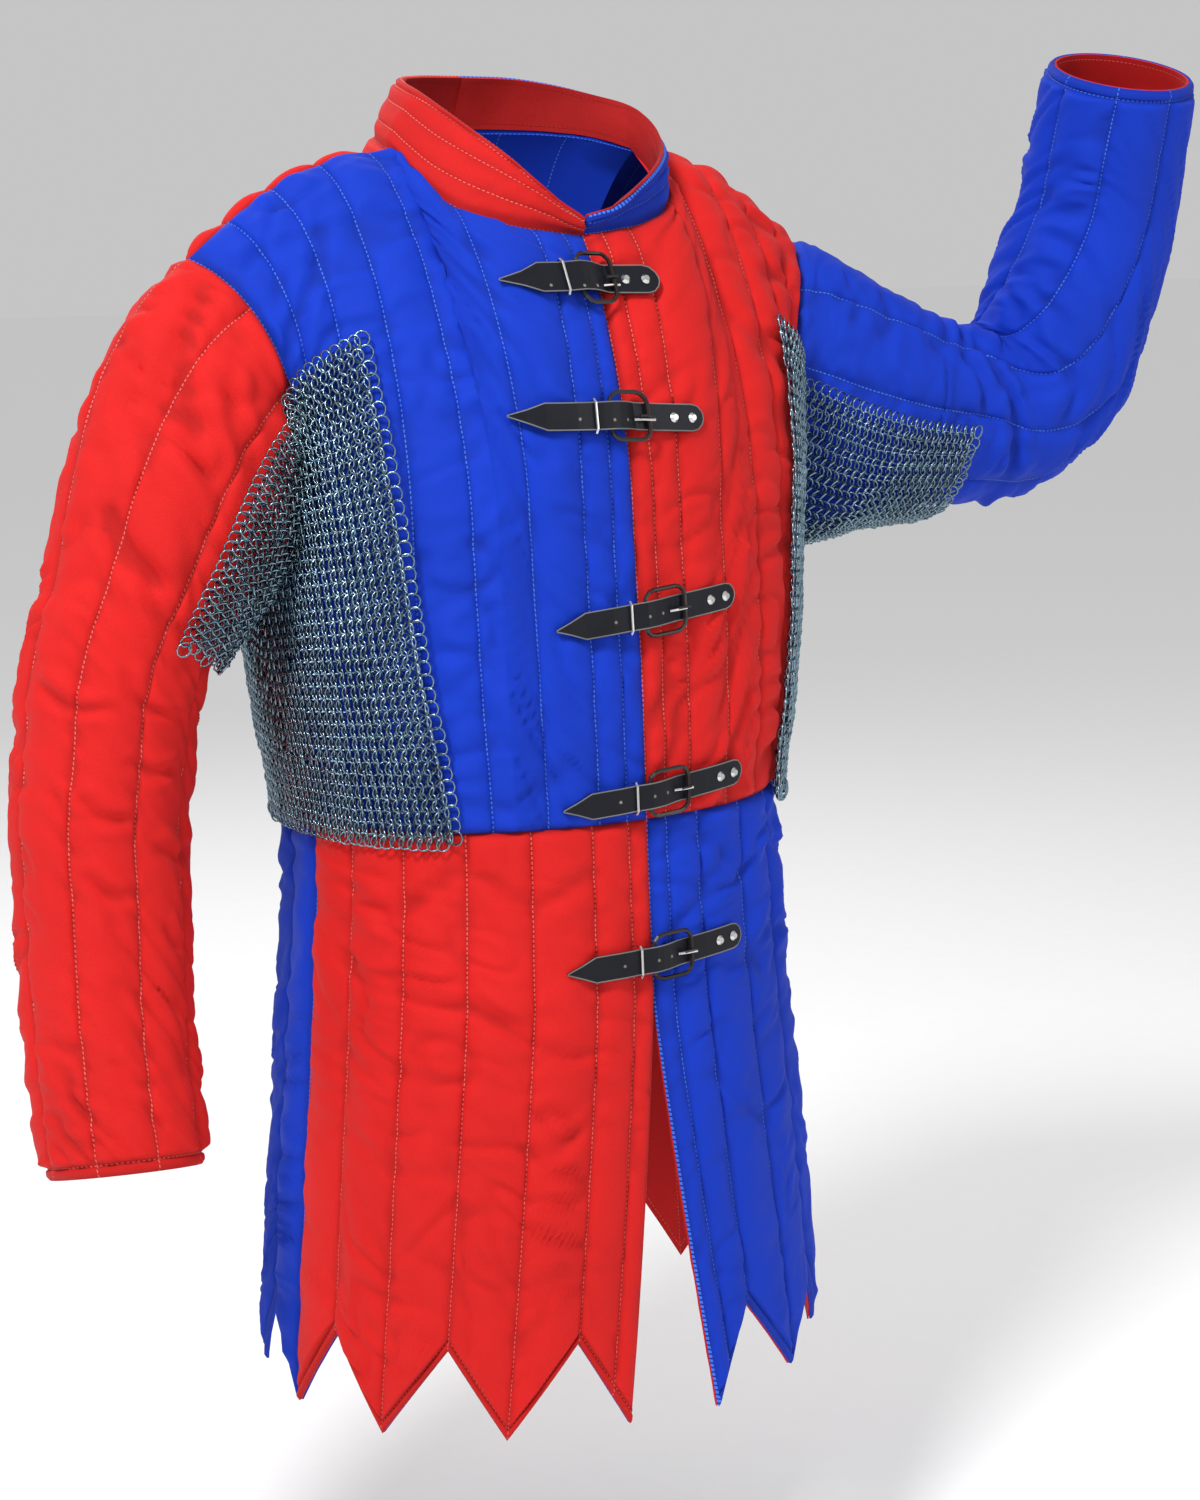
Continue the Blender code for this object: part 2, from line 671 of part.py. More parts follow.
def build_cloth(side, looks):
    """Build one side's upper body, skirt, sleeve, collar and linings; return its panels."""
    name = "left" if side > 0 else "right"
    chest_look = looks["red"] if side > 0 else looks["blue"]
    other_look = looks["blue"] if side > 0 else looks["red"]
    front = make_upper(True)
    back = make_upper(False)
    sections, twist = (LEFT_ARM, LEFT_TWIST) if side > 0 else (RIGHT_ARM, 0.0)
    sleeve = make_sleeve(sections, twist)
    collar = make_collar(side)
    set_seam_normals(front, back, sleeve, collar)
    for panel in (front, back):
        panel.thin(slice(2, None), -2, NEAR_SEAM_THICK)
        panel.thin(slice(2, None), -3, NEXT_SEAM_THICK)
        panel.thin(1, slice(0, 14), TOP_THICK)
        panel.thin(slice(2, 4), slice(6, 13), BELOW_TOP_THICK)
        panel.pinch(rows=(0, -1), columns=(0, -1))
        panel.pull_back(SEAM_GAP, SEAM_GAP, SEAM_GAP, SEAM_GAP)
    low_side = slice(3, 2 * ARMHOLE_STEPS - 2)
    for row, thick in enumerate(UNDERARM_THICKS, start=1):
        sleeve.thin(row, low_side, thick)
    sleeve.pinch(rows=(0, -1))
    sleeve.pull_back(top=SEAM_GAP)
    upper_rows = every(front.points.shape[0], 2)
    corner = int(np.searchsorted(body_columns()[0], NECK_SHARE))
    for panel, part, look in ((front, "chest_front_", chest_look), (back, "back_", other_look)):
        wall_object(part + name, mirror(panel.outer(), side), mirror(panel.points, side),
                    upper_rows, inner_columns(), look,
                    flips=corner if panel is front else 0)
    wall_object("sleeve_" + name, mirror(sleeve.outer(), side), mirror(sleeve.points, side),
                range(SLEEVE_STEPS + 1), range(0, 2 * ARMHOLE_STEPS, 2), other_look, wrap=True)
    slit = SLIT_HALF_LEFT if side > 0 else SLIT_HALF_RIGHT
    flare = FLARE_LEFT if side > 0 else 0.0
    skirts = (make_skirt(True, slit, flare), make_skirt(False))
    for panel, part, look in zip(skirts, ("skirt_front_", "skirt_back_"), (other_look, chest_look)):
        panel.normals[0] = unit(panel.normals[0] * np.array([1.0, 1.0, 0.0]))
        panel.normals[:, -1] = (1.0, 0.0, 0.0)
        panel.normals[:, 0] = unit(panel.normals[:, 0] * np.array([0.0, 1.0, 1.0]))
        panel.pinch(rows=(0, -1), columns=(0, -1))
        panel.pull_back(SEAM_GAP, 0.0, SEAM_GAP, SEAM_GAP)
        wall_object(part + name, mirror(panel.outer(), side), mirror(panel.points, side),
                    every(SKIRT_STEPS + 1, 2), panel.marks, look)
    lining_look = looks["red"] if side > 0 else looks["blue"]
    flat_object("lining_skirt_" + name, skirts[0], -LAYER_GAP - LINING_THICK, LINING_THICK,
                every(SKIRT_STEPS + 1, 2)[1:], skirts[0].marks, lining_look, side)
    cuff_rows = list(range(SLEEVE_STEPS - CUFF_LINING_ROWS, SLEEVE_STEPS + 1))
    flat_object("lining_cuff_" + name, sleeve, -LAYER_GAP - LINING_THICK, LINING_THICK,
                cuff_rows, range(0, 2 * ARMHOLE_STEPS, 2), lining_look, side, wrap=True)
    build_collar(side, collar, looks)
    return front, back, sleeve


def make_collar(side):
    """Sample a collar half; the left one stands up first and then leans out."""
    shape = Collar(COLLAR_TOP_LEFT, 1.7, 0.0) if side > 0 else Collar(COLLAR_TOP_RIGHT, 1.0, 0.004)
    u, v = np.meshgrid(collar_columns(), channel_columns(COLLAR_BANDS, 0.0)[0])
    panel = Panel(shape.point(u, v), [0], np.zeros(3))
    radial = unit(panel.points * np.array([1.0, 1.0, 0.0]))
    if (panel.normals * radial).sum() < 0:
        panel.normals = -panel.normals
    for edge in (0, -1):
        panel.normals[:, edge] = unit(panel.normals[:, edge] * np.array([0.0, 1.0, 1.0]))
    return panel


def build_collar(side, panel, looks):
    """Build one half of the stand collar and its lining."""
    name = "left" if side > 0 else "right"
    marks = channel_columns(COLLAR_BANDS, 0.0)[1]
    panel.thick[:] = COLLAR_CROWN
    panel.pinch(rows=marks, thick=STITCH_THICK)
    for row, thick in enumerate(COLLAR_BASE_THICKS, start=1):
        panel.thin(row, slice(None), thick)
    panel.pinch(rows=(0, -1), columns=(0, -1))
    panel.pull_back(2 * SEAM_GAP, 0.0, SEAM_GAP, SEAM_GAP)
    wall_object("collar_" + name, mirror(panel.outer(), side), mirror(panel.points, side),
                marks, range(panel.points.shape[1]), looks["blue"] if side > 0 else looks["red"])
    flat_object("lining_collar_" + name, panel, -2 * LAYER_GAP - LINING_THICK, LINING_THICK,
                [1] + marks[1:], range(panel.points.shape[1]), looks["dark_red"], side)


def main():
    """Build the whole garment."""
    reset_scene()
    looks = {
        "blue": material("cotton_blue", (0.010, 0.045, 0.60), 0.85),
        "red": material("cotton_red", (0.78, 0.020, 0.018), 0.85),
        "dark_red": material("cotton_red_inside", (0.42, 0.012, 0.012), 0.9),
        "mail": material("steel_rings", (0.18, 0.22, 0.26), 0.45, 1.0),
        "leather": material("black_leather", (0.012, 0.012, 0.016), 0.45),
        "black_metal": material("black_enamel", (0.03, 0.02, 0.02), 0.35, 0.6),
        "nickel": material("nickel", (0.62, 0.62, 0.62), 0.25, 1.0),
    }
    for side in (1, -1):
        front, back, sleeve = build_cloth(side, looks)
        build_mail(side, front, back, sleeve, looks["mail"])
    build_fastenings(looks)


def relax(points, links, weight, rounds):
    """Ease points towards the mean of their neighbours, by a weight at each point."""
    for _ in range(rounds):
        means = np.array([points[link].mean(axis=0) for link in links])
        points = points + weight[:, None] * (means - points)
    return points


def build_mail(side, front, back, sleeve, look):
    """Build one armpit's mail: torso side, bridged over the armpit, and the sleeve's underside."""
    name = "mail_left" if side > 0 else "mail_right"
    lift = CROWN_THICK + MAIL_LIFT
    last = ARMHOLE_STEPS
    rows = list(MAIL_ROWS)
    shares = (np.array(rows) - rows[0]) / (rows[-1] - rows[0])
    edge = MAIL_FRONT_EDGE[0] + (MAIL_FRONT_EDGE[1] - MAIL_FRONT_EDGE[0]) * shares
    full = front.points.shape[1] - 1
    columns = edge[:, None] + (full - edge[:, None]) * np.linspace(0, 1, MAIL_COLUMNS)
    vertices = []
    outs = []
    ids = {}

    def vertex(key, panel, i, j, drop=0.0):
        if key not in ids:
            ids[key] = len(vertices)
            height = lift + (MAIL_ARM_LIFT if panel is sleeve else 0.0)
            left = int(min(math.floor(j), panel.points.shape[1] - 2))
            mix = j - left
            normal = (1 - mix) * panel.normals[i, left] + mix * panel.normals[i, left + 1]
            point = (1 - mix) * panel.points[i, left] + mix * panel.points[i, left + 1]
            outs.append(unit(normal))
            vertices.append(point + outs[-1] * height + np.array([0.0, 0.0, -drop]))
        return ids[key]

    faces = []
    chains = []
    grids = []
    for label, panel in (("front", front), ("back", back)):
        grid = np.zeros(columns.shape, int)
        for r, i in enumerate(rows):
            for c in range(MAIL_COLUMNS):
                on_side = c == MAIL_COLUMNS - 1 and i >= last
                key = ("side", i) if on_side else (label, i, c)
                drop = MAIL_HANG if i == rows[-1] else 0.0
                grid[r, c] = vertex(key, panel, i, columns[r, c], drop)
        faces += [face if label == "front" else face[::-1] for face in grid_faces(grid, False)]
        grids.append(grid)
        above = rows.index(last)
        chains += list(zip(grid[:above, :-1].ravel(), grid[:above, 1:].ravel()))
        chains += list(zip(grid[above:-1, -1], grid[above + 1:, -1]))
    arm_rows = range(2, MAIL_ARM_ROWS + 1, 2)
    around = [i for i in rows if i <= last] + [2 * last - i for i in rows[::-1] if i < last]
    grid = np.zeros((len(arm_rows) + 1, len(around)), int)
    for c, a in enumerate(around):
        row = rows.index(a if a <= last else 2 * last - a)
        grid[0, c] = grids[0][row, -1] if a <= last else grids[1][row, -1]
        for r, s in enumerate(arm_rows):
            grid[r + 1, c] = vertex(("arm", s, a), sleeve, s, a)
    faces += [face[::-1] for face in grid_faces(grid, False)]
    chains += list(zip(grid[:-1].ravel(), grid[1:].ravel()))
    points = np.array(vertices)
    links = [set() for _ in points]
    for pair in chains:
        links[pair[0]].add(pair[1])
        links[pair[1]].add(pair[0])
    links = [sorted(link) or [index] for index, link in enumerate(links)]
    near = np.linalg.norm(points - front.points[last, -1], axis=1) / MAIL_BRIDGE
    weight = 0.8 * np.clip(1.2 - near, 0.0, 1.0)
    weight[grid[0]] = 0.8
    weight[grids[0][rows.index(last) + 1:, -1]] = 0.0
    moved = relax(points, links, weight, 40) - points
    outward = (moved * np.array(outs)).sum(axis=1, keepdims=True) > 0
    neighbours = [set() for _ in points]
    for face in faces:
        for k in range(4):
            neighbours[face[k]].add(face[k - 1])
            neighbours[face[k - 1]].add(face[k])
    neighbours = [sorted(group) for group in neighbours]
    points = points + relax(moved * outward, neighbours, np.full(len(points), 0.4), 2)
    normals = np.zeros_like(points)
    for face in faces:
        corner = points[list(face)]
        normal = np.cross(corner[2] - corner[0], corner[3] - corner[1])
        for index in face:
            normals[index] += normal
    centre = np.array([0.0, 0.0, -0.35])
    normals = unit(normals)
    if (normals[grids[0][-1]] * (points[grids[0][-1]] - centre)).sum() < 0:
        normals = -normals
    outer = points + normals * MAIL_THICK
    count = len(points)
    edges = {}
    for face in faces:
        for k in range(4):
            pair = (face[k - 1], face[k])
            edges[pair] = edges.get(pair, 0) + 1
    shell = list(faces) + [tuple(count + index for index in face) for face in faces]
    for a, b in edges:
        if edges.get((b, a), 0) == 0:
            shell.append((a, b, count + b, count + a))
    add_object(name, mirror(np.concatenate([points, outer]), side), shell, look)


class FrontSurface:
    """Maps a fastening's own flat coordinates onto the quilted front."""

    def __init__(self, height, tilt):
        self.height = height
        self.slope = math.tan(math.radians(tilt))
        self.panel = Upper(True) if height > WAIST_Z else Skirt(True)
        self.width = PANEL_WIDTH if height > WAIST_Z else SKIRT_WIDTH
        self.shares = np.linspace(0.0, 1.0, 201)

    def inner(self, x, y):
        """Point of the inner face at x along the strap and y up."""
        x, y = np.broadcast_arrays(np.asarray(x, float), np.asarray(y, float))
        goal = self.height + y + x * self.slope
        u = np.abs(x) / self.width
        heights = self.panel.point(u[..., None], self.shares)[..., 2]
        low = np.clip((heights > goal[..., None]).sum(-1) - 1, 0, 199)[..., None]
        first = np.take_along_axis(heights, low, -1)[..., 0]
        second = np.take_along_axis(heights, low + 1, -1)[..., 0]
        v = (low[..., 0] + (first - goal) / (first - second)) / 200.0
        point = self.panel.point(u, v)
        return point * np.stack([np.where(x < 0, -1.0, 1.0), np.ones_like(x), np.ones_like(x)], -1)

    def place(self, x, y, h):
        """Points at height h over the channels' crowns."""
        x, y, h = np.broadcast_arrays(*(np.asarray(value, float) for value in (x, y, h)))
        step = 0.002
        along = self.inner(x + step, y) - self.inner(x - step, y)
        rise = self.inner(x, y + step) - self.inner(x, y - step)
        normal = unit(np.cross(along, rise))
        return self.inner(x, y) + normal * (CROWN_THICK + h)[..., None]


def ribbon(name, surface, x, half, low, thick, look):
    """Flat leather strip along x, from its half widths and the heights of its underside."""
    rings = []
    for y, h in ((-half, low), (half, low), (half, low + thick), (-half, low + thick)):
        rings.append(surface.place(x, y, h))
    points = np.stack(rings, 1)
    count = len(x)
    ids = np.arange(4 * count).reshape(count, 4)
    faces = grid_faces(ids, True) + [tuple(ids[0]), tuple(ids[-1])]
    piece = add_object(name, points.reshape(-1, 3), faces, look)
    piece.data.set_sharp_from_angle(angle=math.radians(30))


def wire(name, points, radius, look, closed=False):
    """Round wire through points, as a closed mesh."""
    curve = bpy.data.curves.new(name, "CURVE")
    curve.dimensions = "3D"
    curve.bevel_depth = radius
    curve.bevel_resolution = 1
    curve.use_fill_caps = True
    spline = curve.splines.new("POLY")
    spline.points.add(len(points) - 1)
    for spot, point in zip(spline.points, points):
        spot.co = (*point, 1.0)
    spline.use_cyclic_u = closed
    curve.materials.append(look)
    piece = bpy.data.objects.new(name, curve)
    bpy.data.collections[COLLECTION_NAME].objects.link(piece)


def frame_outline(centre):
    """Rounded rectangle of the buckle frame: x and y along its wire."""
    xs = []
    ys = []
    for quarter in range(4):
        for step in range(4):
            angle = math.pi / 2 * (quarter + step / 3)
            corner_x = (FRAME_HALF_LENGTH - FRAME_CORNER) * (1 if quarter in (0, 3) else -1)
            corner_y = (FRAME_HALF_HEIGHT - FRAME_CORNER) * (1 if quarter in (0, 1) else -1)
            xs.append(centre + corner_x + FRAME_CORNER * math.cos(angle))
            ys.append(corner_y + FRAME_CORNER * math.sin(angle))
    return np.array(xs), np.array(ys)


def strap_height(x, centre):
    """Height of a strap's underside: under the frame's left bar, over its right bar, to the tip."""
    rows = (
        (centre - 0.120, 0.0006),
        (centre - CHAPE_REACH - 0.014, 0.0007),
        (centre - CHAPE_REACH - 0.004, 0.0026),
        (centre - CHAPE_REACH, 0.0028),
        (centre - KEEPER_OFFSET, 0.0034),
        (centre - 0.024, 0.0052),
        (centre - FRAME_HALF_LENGTH, 0.0068),
        (centre - 0.008, 0.0062),
        (centre + 0.009, 0.0007),
        (0.120, 0.0005),
    )
    keys, values = zip(*rows)
    return np.interp(x, keys, values)


def rivet(name, surface, x, look):
    """Domed rivet head on the strap."""
    shell = bmesh.new()
    bmesh.ops.create_cone(shell, cap_ends=True, segments=12, radius1=RIVET_RADIUS,
                          radius2=RIVET_RADIUS * 0.55, depth=RIVET_HEIGHT)
    mesh = bpy.data.meshes.new(name)
    shell.to_mesh(mesh)
    shell.free()
    mesh.materials.append(look)
    mesh.shade_smooth()
    piece = bpy.data.objects.new(name, mesh)
    low = surface.place(x, 0.0, STRAP_THICK + PIECE_GAP + 0.0005)
    high = surface.place(x, 0.0, STRAP_THICK + PIECE_GAP + 0.0005 + RIVET_HEIGHT)
    axis = Vector(high - low)
    piece.location = Vector((low + high) / 2)
    piece.rotation_mode = "QUATERNION"
    piece.rotation_quaternion = axis.to_track_quat("Z", "Y")
    bpy.data.collections[COLLECTION_NAME].objects.link(piece)


def build_fastenings(looks):
    """Build the five straps with their chapes, frames, prongs, keepers and rivets."""
    for number, (height, tip, end, centre, tilt) in enumerate(FASTENINGS, start=1):
        surface = FrontSurface(height, tilt)
        x = np.concatenate([
            -tip + np.array([0.0, 0.5, 1.0]) * STRAP_POINT,
            centre - CHAPE_REACH - np.array([0.009, 0.0]),
            centre - np.array([0.036, KEEPER_OFFSET, 0.024]), centre + np.linspace(-0.017, 0.012, 6),
            np.linspace(centre + 0.020, end - STRAP_HALF, 4),
            end - STRAP_HALF * (1 - np.array([0.5, 0.86, 1.0])),
        ])
        x = np.unique(x)
        point_half = np.clip((x + tip) / STRAP_POINT, 0.06, 1.0) * STRAP_HALF
        past = ((x - end + STRAP_HALF) / STRAP_HALF).clip(0)
        round_half = np.sqrt(np.clip(1 - past**2, 0.03, 1.0)) * STRAP_HALF
        half = np.minimum(point_half, round_half)
        ribbon(f"strap_{number}", surface, x, half, strap_height(x, centre), STRAP_THICK,
               looks["leather"])
        chape = np.linspace(centre - CHAPE_REACH, centre - 0.0125, 7)
        ribbon(f"chape_{number}", surface, chape, np.full(7, CHAPE_HALF), np.full(7, PIECE_GAP),
               CHAPE_THICK, looks["leather"])
        xs, ys = frame_outline(centre)
        lift = 0.0051 + 0.0006 * (xs - centre) / FRAME_HALF_LENGTH
        wire(f"buckle_frame_{number}", surface.place(xs, ys, lift), FRAME_WIRE,
             looks["black_metal"], closed=True)
        prong_x = centre + np.array([0.0095, 0.0195])
        prong_h = np.array([0.0074, 0.0088])
        wire(f"prong_{number}", surface.place(prong_x, 0.0, prong_h), PRONG_WIRE, looks["nickel"])
        reach = STRAP_HALF + 3 * PIECE_GAP + KEEPER_WIRE
        top = 0.0034 + STRAP_THICK + 3 * PIECE_GAP + KEEPER_WIRE
        keeper_y = np.array([-1.0, -1.0, -0.78, 0.78, 1.0, 1.0]) * reach
        keeper_h = np.array([0.0014, top - 0.0022, top, top, top - 0.0022, 0.0014])
        wire(f"keeper_{number}", surface.place(centre - KEEPER_OFFSET, keeper_y, keeper_h), KEEPER_WIRE,
             looks["nickel"])
        for place, setback in enumerate(RIVET_SETBACKS, start=1):
            rivet(f"rivet_{number}_{place}", surface, end - setback, looks["nickel"])


main()
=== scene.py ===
"""Dresses the quartered gambeson: quilted cloth, mail at the armpits, leather straps and buckles.

Metres, +Z up, front towards -Y, wearer's left at +X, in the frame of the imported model.
"""
import logging
import math
from dataclasses import dataclass
from enum import Enum

import bmesh
import bpy
import numpy as np
from mathutils import Matrix, Vector
from mathutils.bvhtree import BVHTree


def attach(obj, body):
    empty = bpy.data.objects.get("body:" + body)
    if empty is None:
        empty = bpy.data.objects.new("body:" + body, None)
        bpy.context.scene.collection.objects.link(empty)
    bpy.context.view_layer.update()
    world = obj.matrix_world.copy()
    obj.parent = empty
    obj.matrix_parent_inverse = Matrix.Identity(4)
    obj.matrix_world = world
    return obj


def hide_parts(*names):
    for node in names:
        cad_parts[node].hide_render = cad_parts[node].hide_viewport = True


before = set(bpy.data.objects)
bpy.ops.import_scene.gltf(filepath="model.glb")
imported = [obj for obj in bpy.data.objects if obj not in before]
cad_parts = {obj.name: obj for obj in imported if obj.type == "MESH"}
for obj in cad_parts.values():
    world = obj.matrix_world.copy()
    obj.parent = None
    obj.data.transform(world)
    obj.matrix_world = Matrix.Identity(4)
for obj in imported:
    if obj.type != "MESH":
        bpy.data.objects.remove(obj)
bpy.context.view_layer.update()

LOG = logging.getLogger("gambeson")
Table = tuple[tuple[float, ...], ...]

# Overall sizes: heights, squareness of the body's section, and widths of panels and front strips
WAIST_Z = -0.484
NOTCH_Z = -0.868
TIP_Z = -0.936
SLIT_TOP_Z = -0.615
RING_POWER = 2.3
PANEL_WIDTH = 0.29
SKIRT_WIDTH = 0.30
EDGE_STRIP = 0.018

# Thickness of the cloth
LEAST_THICK = 0.0012
SEAM_THICK = 0.0024
STITCH_THICK = 0.0032
CROWN_THICK = 0.0085
COLLAR_CROWN = 0.0060
# Painted shade: cloth at or below this thickness is darkened most, and the inner face gets a fixed
# value that is not darkened
SHADE_THICK = 0.0030
INNER_SHADE = 0.6
LINING_THICK = 0.0012
LINING_GAP = 0.0005
LINING_STITCH = 0.004

# Channels, and steps of the coarse model down the armhole, down the side and along the sleeve
BODY_CHANNELS = 7
SKIRT_FRONT_CHANNELS = 6
SKIRT_BACK_CHANNELS = 7
SLEEVE_CHANNELS = 8
COLLAR_BANDS = 3
COLLAR_COLUMNS = 6
ARMHOLE_STEPS = 12
SIDE_STEPS = 6
SLEEVE_STEPS = 26
CHEST_SHARE = ARMHOLE_STEPS / (ARMHOLE_STEPS + SIDE_STEPS)

# What differs between the sides: the raised arm's twist, the slit's half width and its flare
LEFT_TWIST = math.radians(45)
SLIT_HALF_LEFT = 0.095
SLIT_HALF_RIGHT = 0.125
FLARE_LEFT = 0.012

# Fineness of the sampled cloth: rows, rows at a free edge, and columns in a channel or band
BODY_LENGTH = 0.42
SLEEVE_LENGTH = 0.56
ROW_PITCH = 0.0026
FINE_PITCH = 0.0012
HEM_LENGTH = 0.014
PANEL_COLUMNS = 14
TUBE_COLUMNS = 16
BAND_ROWS = 12
CUFF_ROWS = 26
FOLD_STRENGTH = 1.35
INNER_COLUMN_STEP = 4
INNER_ROW_STEP = 6
SEAM_REACH = 0.014
EDGE_REACH = 0.012
LEVEL = np.array([1.0, 1.0, 0.0])
UPRIGHT = np.array([0.0, 1.0, 1.0])
FRONT_OUT = np.array([0.3, -1.0, 0.3])
BACK_OUT = np.array([0.3, 1.0, 0.3])

# Body sections below the chest: height, half width, half depth (inner face)
BODY_SECTIONS = (
    (-0.960, 0.221, 0.189),
    (-0.900, 0.217, 0.185),
    (-0.750, 0.205, 0.174),
    (-0.600, 0.192, 0.164),
    (-0.484, 0.186, 0.159),
    (-0.380, 0.204, 0.156),
    (-0.270, 0.213, 0.148),
)

# Neck edge of a front: share across, x, y, z, from the front's centre to the shoulder seam
FRONT_NECK = (
    (0.00, 0.000, -0.088, -0.060),
    (0.11, 0.031, -0.086, -0.057),
    (0.20, 0.062, -0.080, -0.052),
    (0.27, 0.088, -0.067, -0.042),
    (0.31, 0.101, -0.046, -0.029),
    (0.34, 0.107, -0.022, -0.012),
    (0.37, 0.108, 0.001, 0.003),
)

# Neck edge of a back, from the back's centre to the shoulder seam
BACK_NECK = (
    (0.00, 0.000, 0.090, 0.019),
    (0.15, 0.042, 0.084, 0.019),
    (0.26, 0.076, 0.064, 0.017),
    (0.33, 0.097, 0.036, 0.012),
    (0.37, 0.108, 0.001, 0.003),
)

# Shoulder seam, from the neck to the armhole
SHOULDER = (
    (0.37, 0.108, 0.001, 0.003),
    (0.53, 0.152, 0.006, -0.005),
    (0.68, 0.192, 0.010, -0.021),
    (0.82, 0.226, 0.012, -0.042),
    (1.00, 0.266, 0.014, -0.073),
)
NECK_SHARE = 0.37
SHOULDER_FADE = 0.14

# Handles that shape a column from its top edge to the chest section:
# share across, then the top handle's x, y, z and the chest handle's x, y, z
FRONT_HANDLES = (
    (0.00, 0.000, -0.030, -0.045, 0.000, 0.000, 0.070),
    (0.37, 0.000, -0.060, -0.030, 0.000, 0.000, 0.090),
    (0.70, -0.010, -0.075, -0.030, 0.000, -0.012, 0.090),
    (0.85, -0.018, -0.078, -0.029, -0.008, -0.028, 0.088),
    (0.93, -0.024, -0.080, -0.028, -0.012, -0.040, 0.088),
    (1.00, -0.030, -0.084, -0.027, -0.016, -0.056, 0.090),
)
BACK_HANDLES = (
    (0.00, 0.000, 0.030, -0.050, 0.000, 0.006, 0.100),
    (0.37, 0.000, 0.052, -0.026, 0.000, 0.006, 0.100),
    (0.70, -0.010, 0.084, -0.022, 0.000, 0.018, 0.100),
    (0.85, -0.018, 0.084, -0.024, -0.008, 0.034, 0.088),
    (0.93, -0.024, 0.086, -0.025, -0.012, 0.048, 0.088),
    (1.00, -0.030, 0.090, -0.026, -0.016, 0.066, 0.090),
)
CHEST_Z = -0.270
UNDERARM_DROP = 0.030

# Arm sections, for an arm on the +X side: share along, centre x, y, z, lean from level (degrees),
# swing to the front (degrees), half height, half depth of the inner face
RIGHT_ARM = (
    (0.00, 0.241, 0.004, -0.186, -14, 0, 0.117, 0.066),
    (0.08, 0.268, 0.002, -0.216, -27, 0, 0.084, 0.064),
    (0.16, 0.296, 0.002, -0.262, -43, 0, 0.067, 0.063),
    (0.24, 0.319, 0.005, -0.303, -57, 0, 0.0600, 0.061),
    (0.32, 0.335, 0.010, -0.340, -68, -4, 0.058, 0.059),
    (0.40, 0.344, 0.014, -0.374, -77, -4, 0.057, 0.058),
    (0.50, 0.349, 0.016, -0.415, -82, -2, 0.056, 0.058),
    (0.60, 0.355, 0.018, -0.470, -86, 2, 0.056, 0.057),
    (0.70, 0.358, 0.010, -0.530, -87, 7, 0.055, 0.056),
    (0.80, 0.363, 0.000, -0.596, -87, 11, 0.053, 0.055),
    (0.90, 0.368, -0.018, -0.657, -86, 15, 0.052, 0.054),
    (1.00, 0.370, -0.035, -0.715, -86, 15, 0.052, 0.054),
)
LEFT_ARM = (
    (0.00, 0.241, 0.004, -0.186, -14, 0, 0.117, 0.066),
    (0.07, 0.275, 0.003, -0.190, -8, 0, 0.103, 0.066),
    (0.14, 0.310, 0.001, -0.196, -3, 0, 0.090, 0.066),
    (0.22, 0.351, 0.000, -0.203, -3, 0, 0.081, 0.064),
    (0.30, 0.395, -0.002, -0.210, -3, 2, 0.073, 0.062),
    (0.37, 0.430, -0.004, -0.214, 2, 3, 0.069, 0.061),
    (0.44, 0.460, -0.007, -0.215, 12, 5, 0.067, 0.061),
    (0.50, 0.486, -0.015, -0.205, 30, 8, 0.066, 0.061),
    (0.56, 0.506, -0.023, -0.184, 50, 11, 0.066, 0.061),
    (0.62, 0.520, -0.033, -0.150, 68, 14, 0.066, 0.061),
    (0.70, 0.530, -0.045, -0.098, 84, 16, 0.064, 0.060),
    (0.78, 0.538, -0.058, -0.045, 90, 17, 0.061, 0.058),
    (0.89, 0.531, -0.080, 0.015, 93, 18, 0.058, 0.057),
    (1.00, 0.524, -0.100, 0.063, 94, 18, 0.055, 0.056),
)
ARMHOLE_BLEND = 0.30
UNDERARM_BLEND = 0.045

# Collar top edges: share round from the back's centre, x, y, z
COLLAR_TOP_RIGHT = (
    (0.00, 0.000, 0.076, 0.062),
    (0.20, 0.046, 0.066, 0.061),
    (0.38, 0.074, 0.036, 0.056),
    (0.52, 0.078, 0.000, 0.044),
    (0.66, 0.066, -0.040, 0.020),
    (0.80, 0.046, -0.070, -0.005),
    (0.90, 0.032, -0.082, -0.022),
    (0.96, 0.018, -0.088, -0.036),
    (1.00, 0.002, -0.091, -0.046),
)
COLLAR_TOP_LEFT = (
    (0.00, 0.000, 0.076, 0.062),
    (0.20, 0.050, 0.070, 0.060),
    (0.38, 0.092, 0.046, 0.050),
    (0.52, 0.114, 0.008, 0.036),
    (0.66, 0.112, -0.032, 0.012),
    (0.80, 0.082, -0.074, -0.008),
    (0.90, 0.049, -0.094, -0.026),
    (0.96, 0.025, -0.099, -0.040),
    (1.00, 0.002, -0.095, -0.046),
)


def smooth_table(table: Table, x: np.ndarray) -> np.ndarray:
    """Read a table on a smooth curve through its rows.

    Args:
        table: Rows whose first column is the key.
        x: Keys to read at.

    Returns:
        The later columns at each key.
    """
    rows = np.asarray(table, float)
    keys, values = rows[:, 0], rows[:, 1:]
    x = np.clip(np.asarray(x, float), keys[0], keys[-1])
    slopes = np.gradient(values, keys, axis=0)
    low = np.clip(np.searchsorted(keys, x, side="right") - 1, 0, len(keys) - 2)
    span = (keys[low + 1] - keys[low])[..., None]
    t = (x - keys[low])[..., None] / span
    start = (2 * t**3 - 3 * t**2 + 1) * values[low] + (t**3 - 2 * t**2 + t) * span * slopes[low]
    end = (3 * t**2 - 2 * t**3) * values[low + 1] + (t**3 - t**2) * span * slopes[low + 1]
    return start + end


